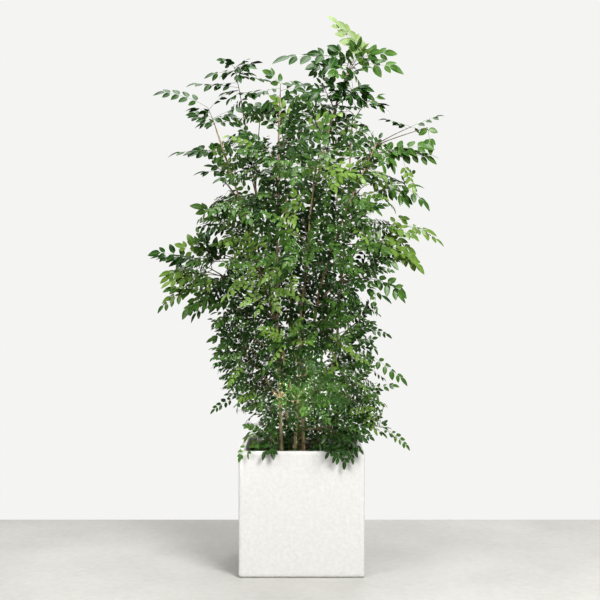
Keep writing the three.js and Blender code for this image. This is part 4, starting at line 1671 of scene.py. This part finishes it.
@dataclass
class Crown:
    """All the twigs, stalks and leaflets: grown mass by mass, thinned where crowded and filled where thin."""

    clump: Clump
    shoots: ShootHabit = SHOOT
    fronds: FrondHabit = FROND
    sky_share: float = 0.08
    view_distance: float = 3200.0
    view_height: float = 835.0
    deeper: float = 50.0
    deepest: float = 415.0
    edge_rise: float = 2.6
    edge_share: float = 0.22
    spill: float = 36.0
    wall_gap: float = 4.0
    soil_gap: float = 3.0
    tip_room: float = 20.0
    seeds: tuple[int, int, int] = (500, 900, 2000)
    twigs: Strands = field(default_factory=lambda: Strands(6))
    stalks: Strands = field(default_factory=lambda: Strands(3))
    blades: dict[Tone, Blades] = field(default_factory=lambda: {tone: Blades() for tone in Tone})
    cover: Cover = field(default_factory=Cover)
    spots: list[np.ndarray] = field(default_factory=list)
    masses: list[Mass] = field(default_factory=list)
    pieces: list[Piece] = field(default_factory=list)
    grown: int = 0

    def grow(self) -> None:
        """Grows the sprays that stand clear, every mass, the shoots inside the crown, and what fills it."""
        self.masses = [self.tuft_mass(tuft) for tuft in TUFTS] + [self.branch_mass(branch) for branch in BRANCHES]
        self.masses += [self.fine_mass(index, branch) for index, branch in enumerate(FINE_BRANCHES)]
        inner, spraying, filling = (self.fronds.seed + seed for seed in self.seeds)
        for index, spray in enumerate(SPRAYS):
            self.grow_spray(spray, Draws(spraying + index))
        for index, mass in enumerate(self.masses):
            self.grow_mass(mass, index)
        for index, stem in enumerate(STEMS):
            self.grow_inner(stem, Draws(inner + index))
        self.fill(Draws(filling))

    def tuft_mass(self, tuft: TuftPlace) -> Mass:
        """Works out the mass that ends a stem.

        Args:
            tuft: The tuft.

        Returns:
            Its mass.
        """
        path = self.clump.paths[tuft.stem]
        heading, start = path.along(1.0), path.at(1.0)
        turned = unit(heading + bearing_of(tuft.bearing) * tuft.lean)
        thick = 2 * self.clump.radius_at(STEM_NAMED[tuft.stem], 1.0)
        return Mass(tuft.name, bent_path(start, heading, turned, tuft.length), thick, tuft.pairs)

    def branch_mass(self, branch: BranchPlace) -> Mass:
        """Works out the mass of a side branch: on from its bough, or straight from the stem.

        Args:
            branch: The branch.

        Returns:
            Its mass.
        """
        whole, thick = self.clump.branch_path(branch)
        if branch.bough:
            thick *= 1 - self.clump.habit.bough_taper
        path = whole.stretch(branch.bough, 1.0, TWIGS.mass_points)
        return Mass(branch.name, path, min(thick, TWIGS.mass_most), branch.pairs)

    def fine_mass(self, index: int, branch: FineBranch) -> Mass:
        """Works out the mass of a branch that the solids leave out, bent as theirs are.

        Args:
            index: Its place in the list, which names it.
            branch: The branch.

        Returns:
            Its mass.
        """
        habit = self.clump.habit
        start, _ = self.clump.paths[branch.stem].at_height(branch.at)
        reach = np.array(branch.tip, dtype=float) - start
        out, up = reach * np.array([1.0, 1.0, 0.0]), UP * reach[2]
        middle = start + out * habit.bend + up * habit.steep
        path = bent_between(start, middle, start + reach, habit.branch_points)
        return Mass(f"fine_{index}", path, TWIGS.fine, branch.pairs)

    def high(self, height: float) -> float:
        """Returns how high a point is in the crown, from 0 to 1."""
        return min(1.0, max(0.0, (height - POT.soil_top) / (PLANT_HEIGHT - POT.soil_top)))

    def frond_size(self, height: float) -> float:
        """Returns the size of the leaves at a height: small near the pot, large at the top."""
        return lerp(self.fronds.lowest, self.fronds.highest, self.high(height) ** self.fronds.ripening)

    def grow_mass(self, mass: Mass, index: int) -> None:
        """Grows a mass by the source's rule: pairs of shoots along its twig and one at the tip.

        Args:
            mass: The mass.
            index: Its place in the list, which seeds it.
        """
        draws, fine = Draws(self.shoots.seed + index), Draws(self.fronds.seed + index)
        share_up = (mass.path.at(1.0)[2] - POT.soil_top) / (PLANT_HEIGHT - POT.soil_top)
        whole_size = lerp(self.shoots.lowest, self.shoots.highest, share_up)

        def size() -> float:
            """Returns the size of the next shoot."""
            return whole_size * (1 + self.shoots.size_spread * (draws.next() - 0.5))

        last = 0.0
        for pair in range(mass.pairs):
            step = pair / (mass.pairs - 1) if mass.pairs > 1 else 0.5
            share = lerp(self.shoots.first_node, self.shoots.last_node, step)
            along = mass.path.along(share)
            turn = self.shoots.turn * pair + self.shoots.turn_spread * (draws.next() - 0.5)
            across = aside_of(along, turn)
            for side in (1, -1):
                heading = turned_from(along, across, side * self.shoots.angle)
                if self.grow_shoot(mass.path.at(share), heading, size(), fine):
                    last = share
            between = share - self.shoots.pair_before
            if self.add_pair(mass.path, between, turn + math.pi / 2, fine, self.tone_at(mass.path.at(between), fine)):
                last = max(last, between)
        if self.grow_shoot(mass.path.at(self.shoots.tip_node), mass.path.along(1.0), size(), fine):
            last = 1.0
        if last > 0:
            tip = lerp(mass.thick, TWIGS.mass_tip, last)
            self.add_twig(mass.path.stretch(0.0, last, TWIGS.points), mass.thick, tip)

    def grow_inner(self, stem: StemPlace, draws: Draws) -> None:
        """Grows short shoots straight from a stem, inside the crown.

        Args:
            stem: The stem.
            draws: Its seeded draws.
        """
        path = self.clump.paths[stem.name]
        self.spots.append(path.many(np.linspace(*INNER.spots)))
        height = INNER.first + draws.between(0, INNER.gap[0])
        bearing = draws.between(0, 360)
        while height < stem.tip[2] - INNER.below_tip:
            start, _ = path.at_height(height)
            for side in (0, 180):
                rise = draws.between(*INNER.rise)
                heading = unit(bearing_of(bearing + side + draws.between(*INNER.veer)) + UP * rise)
                self.grow_shoot(start, heading, INNER.size * lerp(INNER.low_size, 1.0, self.high(height)), draws)
            height += lerp(*INNER.gap, min(1.0, 2 * self.high(height))) * draws.between(*INNER.gap_spread)
            bearing += INNER.turn + draws.between(0, INNER.turn_spread)

    def grow_spray(self, spray: Spray, draws: Draws) -> None:
        """Grows a twig that stands clear, with each frond carried out to its own tip.

        Args:
            spray: The spray.
            draws: Its seeded draws.
        """
        start, _ = self.clump.paths[spray.stem].at_height(spray.at)
        end = np.array(spray.end, dtype=float)
        reach = end - start
        path = bent_between(start, start + reach * self.clump.habit.bend + UP * TWIGS.spray_lift * reach[2], end)
        self.add_twig(path, *TWIGS.spray)
        for share, *place in spray.fronds:
            tip = np.array(place, dtype=float)
            size = self.frond_size(float(tip[2])) * spray.size * draws.between(*SPREAD.spray_size)
            tone = self.tone_at(tip, draws)
            self.reach_out(path.at(share), tip, size, spray.tone or tone, draws, spray.window, spray.arch)

    def reach_out(
        self, base: Point, tip: Point, size: float, tone: Tone, draws: Draws,
        window: float = FROND.window, arch: float = FROND.arch,
    ) -> None:
        """Adds a frond that arches from its base out to its tip.

        Args:
            base: Where it leaves its twig.
            tip: Where its end leaflet ends.
            size: The size of its leaflets.
            tone: Its tone.
            draws: Seeded draws.
            window: How far its leaflets face the window.
            arch: How high it arches, as a share of its level reach.
        """
        span = tip - base
        length = float(np.linalg.norm(span))
        lift = UP * float(np.hypot(span[0], span[1])) * arch * draws.between(*SPREAD.arch)
        whole = bent_between(base, base + span * 0.5 + lift, tip)
        end_leaf = self.fronds.leaflet * self.fronds.end_longer * size
        stalk = whole.stretch(0.0, 1 - min(self.fronds.end_share, end_leaf / length), self.fronds.points)
        self.dress_frond(stalk, size, tone, draws, window)

    def grow_shoot(self, start: Point, heading: Point, size: float, draws: Draws) -> bool:
        """Grows a shoot as far as the source's leaf reaches: pairs of fronds along it and one at its end.

        Args:
            start: Where it leaves its twig.
            heading: The way it sets out.
            size: The size of the source's leaf.
            draws: Its seeded draws.

        Returns:
            Whether it bears any fronds. A shoot without them isn't grown.
        """
        outward = outward_of(start)
        rib = (self.shoots.stalk + self.shoots.gap * self.shoots.pairs) * size
        turned = unit(heading - UP * self.shoots.sag + outward * self.shoots.spread)
        path = bent_path(start, heading, turned, rib)
        leaf = self.frond_size(float(start[2]))
        end = (self.fronds.length + self.fronds.leaflet * self.fronds.end_longer) * leaf
        woody = min(TWIGS.shoot_most * rib, max(TWIGS.shoot_least * rib, rib + self.shoots.end * size - end))
        shoot = path.stretch(0.0, woody / rib)
        tip = shoot.points[-1:]
        if not self.is_clear(shoot.points) or not self.is_inside(tip[0]) or self.shows_sky(tip):
            return False
        tone = self.tone_at(shoot.at(1.0), draws)
        nodes = max(1, round(woody / (self.fronds.node_gap * leaf)))
        turn = draws.between(*SPREAD.shoot_turn)
        last = 0.0
        for node in range(nodes):
            share = (node + 0.8) / (nodes + 0.6)
            if self.add_pair(shoot, share, turn, draws, tone):
                last = share
            turn += self.shoots.turn + draws.between(*SPREAD.node_turn)
        if self.add_frond(shoot.at(1.0), shoot.along(1.0), leaf, self.fresher(tone, draws), draws):
            last = 1.0
        if last > 0:
            self.add_twig(shoot.stretch(0.0, last), *TWIGS.shoot)
        return last > 0

    def add_pair(self, path: Path, share: float, turn: float, draws: Draws, tone: Tone) -> bool:
        """Adds a pair of opposite fronds on a twig.

        Args:
            path: The twig's path.
            share: Where on it they stand.
            turn: How far their plane is turned from level.
            draws: Seeded draws.
            tone: The spray's tone.

        Returns:
            Whether either of them is grown.
        """
        along, start = path.along(share), path.at(share)
        across = aside_of(along, turn)
        grown = False
        for side in (1, -1):
            angle = self.fronds.side_angle * draws.between(*SPREAD.pair_angle)
            heading = turned_from(along, across, side * angle)
            size = self.frond_size(float(start[2])) * draws.between(*SPREAD.pair_size)
            grown = self.add_frond(start, heading, size, tone, draws) or grown
        return grown

    def add_twig(self, path: Path, thick: float, tip: float) -> None:
        """Adds a twig that tapers between two thicknesses, a little knobbly. Its outer part may bear more.

        Args:
            path: Where it runs.
            thick: Its thickness at the foot.
            tip: Its thickness at the tip.
        """
        count = max(TWIGS.fewest_rings, int(path.length / TWIGS.ring_gap))
        shares = np.linspace(0.0, 1.0, count)
        swell = 1 + TWIGS.knob * np.sin(shares * path.length / TWIGS.knob_gap)
        self.twigs.add(path.many(shares), (thick + (tip - thick) * shares) / 2 * swell)
        self.spots.append(path.many(shares[count // 4 :]))

    def add_frond(self, start: Point, heading: Point, size: float, tone: Tone, draws: Draws) -> bool:
        """Adds one feathery leaf, arching out and down, unless there is no room or light for it.

        Args:
            start: Where it leaves its twig.
            heading: The way it sets out.
            size: Its size.
            tone: Its tone.
            draws: Seeded draws.

        Returns:
            Whether it is grown.
        """
        outward = outward_of(start)
        length = self.fronds.length * size * draws.between(*SPREAD.frond_length)
        turned = unit(heading + outward * draws.between(*SPREAD.frond_out) - UP * draws.between(*SPREAD.frond_down))
        path = bent_path(start, unit(heading + outward * self.fronds.set_out), turned, length)
        line = path.many(np.linspace(0.0, 1.0, self.fronds.rings))
        lucky = draws.next() < self.sky_share
        if not self.has_room(line) or (self.shows_sky(line[1:]) and not lucky):
            return False
        seen = self.seen(line[1:])
        if self.cover.mean(seen) > self.wanted(seen[2]):
            return False
        self.dress_frond(path, size, tone, draws)
        return True

    def dress_frond(self, path: Path, size: float, tone: Tone, draws: Draws, window: float = FROND.window) -> None:
        """Adds a frond's stalk, its pairs of leaflets and the one at its end.

        Args:
            path: Where its stalk runs.
            size: The size of its leaflets.
            tone: Its tone.
            draws: Seeded draws.
            window: How far its leaflets face the window.
        """
        habit = self.fronds
        outward = outward_of(path.at(0.0))
        self.grown += 1
        radii = np.linspace(habit.thick, habit.thick * habit.thin, habit.rings) / 2 * max(habit.least_thick, size)
        self.stalks.add(path.many(np.linspace(0.0, 1.0, habit.rings)), radii)
        roll = draws.between(*SPREAD.roll) * min(1.0, habit.roll_least + window)
        facing = self.shoots.facing * draws.between(*SPREAD.facing)
        fit = int(path.length * (habit.last - habit.first) / (habit.pair_gap * size)) + 1
        fewest, most = habit.pairs
        pairs = max(2, min(fit, int(draws.between(fewest, most + BELOW_ONE))))
        for pair in range(pairs):
            step = pair / (pairs - 1)
            share = habit.last - (pairs - 1 - pair) * habit.pair_gap * size / path.length
            along = path.along(share)
            upper = turned_about(upper_side(along, outward, facing, window), along, roll)
            across = np.cross(along, upper)
            angle = lerp(habit.base_angle, habit.tip_angle, step) * draws.between(*SPREAD.leaflet_angle)
            long = habit.leaflet * size * habit.swelling(step)
            for side in (1, -1):
                pitch = draws.between(*SPREAD.leaflet_pitch)
                away = unit(turned_from(along, across, side * angle) - upper * pitch)
                blade_up = unit(upper + across * side * pitch)
                length = long * draws.between(*SPREAD.leaflet_length)
                sweep = along * habit.sweep
                self.add_leaflet(path.at(share), away, blade_up, length, habit.breadth, tone, sweep, draws)
        along = path.along(1.0)
        upper = turned_about(upper_side(along, outward, facing, window), along, roll)
        long = habit.leaflet * habit.end_longer * size
        sweep = across * roll * habit.end_roll - UP * habit.hang
        self.add_leaflet(path.at(1.0), along, upper, long, habit.end_breadth, tone, sweep, draws)

    def add_leaflet(
        self, root: Point, heading: Point, upper: Point, length: float, breadth: float, tone: Tone, sweep: Point,
        draws: Draws,
    ) -> None:
        """Adds one leaflet, unless it would touch the planter or the soil.

        Args:
            root: Where it leaves the rachis.
            heading: The way it runs.
            upper: The way its upper side faces.
            length: Its length.
            breadth: Its width as a share of its length.
            tone: Its tone.
            sweep: The way its tip curves.
            draws: Seeded draws.
        """
        width = length * breadth * draws.between(*SPREAD.leaflet_width)
        blades = self.blades[tone]
        points = blades.shape(root, heading, upper, length, width, draws.between(*SPREAD.leaflet_droop), sweep)
        if self.is_clear(points[blades.SPINE]):
            blades.points.append(points)
            shown = max(blades.EDGE_ON, abs(float(upper[1])))
            self.cover.add(self.seen(points[blades.HEART]), blades.AREA * length * width * shown)

    def fill(self, draws: Draws) -> None:
        """Grows fronds from the nearest twigs into the places that are still thin, in a few rounds.

        Args:
            draws: Seeded draws.
        """
        middles = self.cover.middles()
        for _ in range(FILL.rounds):
            spots = np.concatenate(self.spots)
            for middle in sorted(middles, key=lambda _: draws.next()):
                self.fill_place(middle, spots, draws)

    def fill_place(self, middle: Point, spots: np.ndarray, draws: Draws) -> None:
        """Grows a frond into a place if it is thin there and a twig is near.

        Args:
            middle: The place, across and by height as seen.
            spots: Points on the twigs and stems.
            draws: Seeded draws.
        """
        seen = middle + np.array([draws.between(-0.5, 0.5), draws.between(-0.5, 0.5)]) * Cover.CELL
        far = self.far_out(seen)
        if far > FILL.edge or self.cover.mean(seen[None]) > self.wanted(seen):
            return
        deep = self.depth(float(seen[1])) * math.sqrt(1 - far**2) * FILL.depth_share
        aim = self.unseen(seen, draws.between(-deep, deep))
        if self.shows_sky(aim[None]):
            return
        gaps = aim - spots
        away = np.linalg.norm(gaps, axis=1)
        inward = (gaps @ outward_of(aim)) < FILL.inward * away
        hanging = gaps[:, 2] < -FILL.hanging * away
        cost = away * np.where(inward, FILL.inward_cost, 1.0) + np.where(hanging, FILL.hanging_cost, 0.0)
        best = int(np.argmin(cost))
        distance = float(away[best])
        if not FILL.nearest < distance < FILL.furthest:
            return
        start, size = spots[best], self.frond_size(float(aim[2])) * draws.between(*FILL.size)
        heading = gaps[best] / distance
        tip = aim + unit(heading - UP * FILL.droop) * self.fronds.length * size * FILL.past
        tone = self.tone_at(aim, draws)
        bare = max(0.0, distance - FILL.twiglet_reach)
        base = start + heading * bare + UP * FILL.twiglet_lift * bare
        line = np.linspace(base, tip, FILL.points)
        if not self.has_room(line) or self.shows_sky(line):
            return
        if bare > FILL.twiglet_least:
            twig = bent_between(start, start + heading * bare * 0.5 + UP * FILL.twiglet_arch * bare, base)
            if not self.is_clear(twig.points):
                return
            self.add_twig(twig, *TWIGS.twiglet)
            self.add_pair(twig, FILL.pair_at, draws.between(-0.5, 0.5), draws, tone)
        self.reach_out(base, tip, size, tone, draws)

    def seen(self, points: np.ndarray) -> np.ndarray:
        """Returns where points appear from the front: across and by height, in the plane through the middle."""
        nearer = self.view_distance / (self.view_distance + points[:, 1])
        return np.stack([points[:, 0] * nearer, self.view_height + (points[:, 2] - self.view_height) * nearer], 1)

    def unseen(self, seen: Point, depth: float) -> Point:
        """Returns the point at a depth that appears at a place across and by height."""
        further = (self.view_distance + depth) / self.view_distance
        return np.array([seen[0] * further, depth, self.view_height + (seen[1] - self.view_height) * further])

    def fullness(self, height: float) -> float:
        """Returns how many layers of leaf the crown carries at a height."""
        heights, layers = np.array(FULLNESS).T
        return float(np.interp(-height, -heights, layers))

    def far_out(self, seen: Point) -> float:
        """Returns how far out a place as seen is: 0 in the middle of the crown and 1 at its edge."""
        left, right = self.edges(float(seen[1]))
        return abs(float(seen[0]) - (left + right) / 2) / (right - left) * 2

    def wanted(self, seen: Point) -> float:
        """Returns how many layers of leaf a place as seen should carry: fewer towards the edge."""
        rise = max(0.0, self.edge_rise * (1.0 - self.far_out(seen)))
        return self.fullness(float(seen[1])) * min(1.0, rise + self.edge_share)

    def depth(self, height: float) -> float:
        """Returns how far the crown reaches to the front and back at a height as seen."""
        left, right = self.edges(height)
        return min(self.deepest, max(-left, right) + self.deeper)

    def edges(self, height: float) -> Pair:
        """Returns the left and right edge of the crown's outline at a height as seen."""
        heights, lefts, rights = np.array(OUTLINE).T
        return float(np.interp(-height, -heights, lefts)), float(np.interp(-height, -heights, rights))

    def has_room(self, line: np.ndarray) -> bool:
        """Says whether a line keeps clear, spills over no rim and ends inside the crown.

        Args:
            line: Points along it.

        Returns:
            Whether there is room for it.
        """
        level = np.abs(line[:, :2]).max(axis=1)
        spills = (level > POT.side / 2 - self.spill) & (line[:, 2] < POT.height + self.spill)
        beyond = line[-1] + unit(line[-1] - line[-2]) * self.tip_room
        return self.is_clear(line) and not spills.any() and self.is_inside(beyond)

    def is_clear(self, points: np.ndarray) -> bool:
        """Says whether points keep clear of the planter's walls and the soil.

        Args:
            points: The points.

        Returns:
            Whether all of them do.
        """
        level = np.abs(points[:, :2]).max(axis=1)
        low = points[:, 2] < POT.height + self.wall_gap
        hits_wall = low & (level > POT.side / 2 - POT.wall - self.wall_gap) & (level < POT.side / 2 + self.wall_gap)
        hits_soil = (level <= POT.side / 2 - POT.wall) & (points[:, 2] < POT.soil_top + self.soil_gap)
        return not bool((hits_wall | hits_soil).any())

    def is_inside(self, point: Point) -> bool:
        """Says whether a point lies inside the crown's outline, from the front and from the side.

        Args:
            point: The point.

        Returns:
            Whether it does.
        """
        across, height = self.seen(point[None])[0]
        left, right = self.edges(float(height))
        return left < across < right and abs(point[1]) < self.depth(float(height)) and height < OUTLINE[0][0]

    def shows_sky(self, points: np.ndarray) -> bool:
        """Says whether points lie where the crown is open."""
        seen = self.seen(points)
        return any(gap.holds(seen, points[:, 1]) for gap in SKY)

    def tone_at(self, point: Point, draws: Draws) -> Tone:
        """Deals a spray its tone, which paints its shade and light: set in a few places, else by how far out and up
        it is, so that leaves are darker inside the crown and lighter at its top and edge.

        Args:
            point: Where the spray is.
            draws: Seeded draws.

        Returns:
            The tone.
        """
        out, up = float(np.hypot(point[0], point[1])) / LIGHT.reach, self.high(float(point[2]))
        light = LIGHT.out_share * out + LIGHT.up_share * up + draws.between(*LIGHT.spread)
        for place in LIGHT_PLACES:
            if place.holds(point):
                return place.tone
        if light > LIGHT.fresh:
            return Tone.FRESH
        return Tone.MID if light > LIGHT.mid else Tone.DEEP

    def fresher(self, tone: Tone, draws: Draws) -> Tone:
        """Deals a shoot's end leaf its tone: now and then a step fresher than the rest, which also moves it from
        painted shade towards painted light.

        Args:
            tone: The shoot's tone.
            draws: Seeded draws.

        Returns:
            The end leaf's tone.
        """
        if tone in (Tone.YOUNG, Tone.FRESH) or draws.next() > LIGHT.fresher_share:
            return tone
        return TONES[TONES.index(tone) + 1]

    def build(self) -> None:
        """Makes the gathered twigs, stalks and leaflets their pieces."""
        self.pieces = [self.twigs.piece("twigs"), self.stalks.piece("leaf_stalks")]
        for tone, blades in self.blades.items():
            if blades.points:
                self.pieces += blades.pieces(f"leaves_{tone.value}")

    def dress(self) -> None:
        """Gives each piece its finish, and sets them all in place of the masses' solids."""
        solids = [f"foliage_{mass.name}" for mass in self.masses if not mass.name.startswith("fine_")]
        finishes = {"twigs": TWIG, "leaf_stalks": STALK}
        finishes |= {f"leaves_{tone.value}": finish for tone, finish in LEAVES.items()}
        for piece in self.pieces:
            finishes[piece.name.rstrip("_0123456789")].dress(piece)
            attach(piece, "root")
            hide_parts(*solids)


@dataclass(frozen=True)
class Lamp:
    """A soft square lamp: its place and target in metres, its side, its power in watts and how wide it throws."""

    name: str
    place: Triple
    target: Triple
    size: float
    power: float
    spread: float = math.pi


LAMPS = (
    Lamp("key", (1.3, -2.2, 2.5), (0.0, 0.0, 0.8), 1.2, 106.0),
    Lamp("fill", (-1.9, -2.2, 1.6), (-0.1, 0.0, 0.4), 1.5, 38.0),
    Lamp("top", (-0.3, 0.1, 3.2), (0.0, 0.0, 0.9), 1.8, 50.0),
    Lamp("back", (0.5, 2.9, 1.9), (0.0, 0.0, 0.8), 1.5, 34.0),
    Lamp("stems", (-0.15, -3.4, 0.95), (-0.01, 0.0, 0.545), 0.12, 0.36, math.radians(5.5)),
    Lamp("rim", (-1.3, -1.0, 1.5), (-0.19, -0.05, 0.39), 0.12, 0.2, math.radians(9)),
)


@dataclass
class Studio:
    """The pale floor, the soft light and the camera."""

    camera_place: Triple = (-0.005, -3.2, 0.835)
    lens: float = 60.1
    sensor: float = 36.0
    floor_size: Triple = (6.0, 1.9, 1.0)
    floor_place: Triple = (0.0, -0.34, -0.0005)
    sky: Colour = (0.762, 0.760, 0.750)
    glow: float = 0.35

    def build(self) -> None:
        """Sets up floor, light and camera."""
        deselect_all()
        bpy.ops.mesh.primitive_plane_add(size=1.0)
        floor = bpy.context.object
        floor.name = "floor"
        floor.scale = self.floor_size
        floor.location = self.floor_place
        settle(floor)
        FLOOR.dress(floor)
        self.light_sky()
        for lamp in LAMPS:
            self.add_lamp(lamp)
        self.add_camera()

    def light_sky(self) -> None:
        """Gives the surroundings an even pale light."""
        world = bpy.data.worlds.new("pale_studio")
        world.use_nodes = True
        back = world.node_tree.nodes["Background"]
        nodes = Nodes(world.node_tree)
        nodes.fill(back, {"Color": rgba(self.sky)})
        rays = nodes.add("ShaderNodeLightPath")
        level = nodes.add("ShaderNodeMapRange", {"To Min": self.glow, "To Max": 1.0})
        nodes.link(rays, "Is Camera Ray", level, "Value")
        nodes.link(level, "Result", back, "Strength")
        bpy.context.scene.world = world
        bpy.context.scene.view_settings.view_transform = "Standard"
        bpy.context.scene.view_settings.look = "Medium High Contrast"

    def add_lamp(self, lamp: Lamp) -> None:
        """Hangs a lamp and turns it to its target.

        Args:
            lamp: The lamp.
        """
        light = bpy.data.lights.new(lamp.name, "AREA")
        light.size, light.energy, light.spread = lamp.size, lamp.power, lamp.spread
        held = bpy.data.objects.new(lamp.name, light)
        held.location = lamp.place
        held.rotation_euler = (Vector(lamp.target) - Vector(lamp.place)).to_track_quat("-Z", "Y").to_euler()
        bpy.context.scene.collection.objects.link(held)

    def add_camera(self) -> None:
        """Adds the level camera at the photo's height and distance."""
        lens = bpy.data.cameras.new("camera")
        lens.lens = self.lens
        lens.sensor_width = self.sensor
        held = bpy.data.objects.new("camera", lens)
        held.location = self.camera_place
        held.rotation_euler = (math.pi / 2, 0.0, 0.0)
        bpy.context.scene.collection.objects.link(held)
        bpy.context.scene.camera = held


def main() -> None:
    """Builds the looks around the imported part, piece by piece."""
    logging.basicConfig(level=logging.INFO, format="%(name)s: %(message)s")
    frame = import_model()
    LOG.info("solids %d", len(frame["nodes"]))
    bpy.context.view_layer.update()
    studio = Studio()
    studio.build()
    planter = Planter()
    soil = SoilBed()
    clump = Clump()
    clump.grow()
    crown = Crown(clump)
    crown.grow()
    LOG.info("fronds %d", crown.grown)
    for part in (planter, soil, clump, crown):
        part.build()
        part.dress()
        LOG.info("built %s", type(part).__name__)
    for piece in crown.pieces:
        LOG.info("%s: %d faces", piece.name, len(piece.data.polygons))
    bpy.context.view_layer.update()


if __name__ == "__main__":
    main()
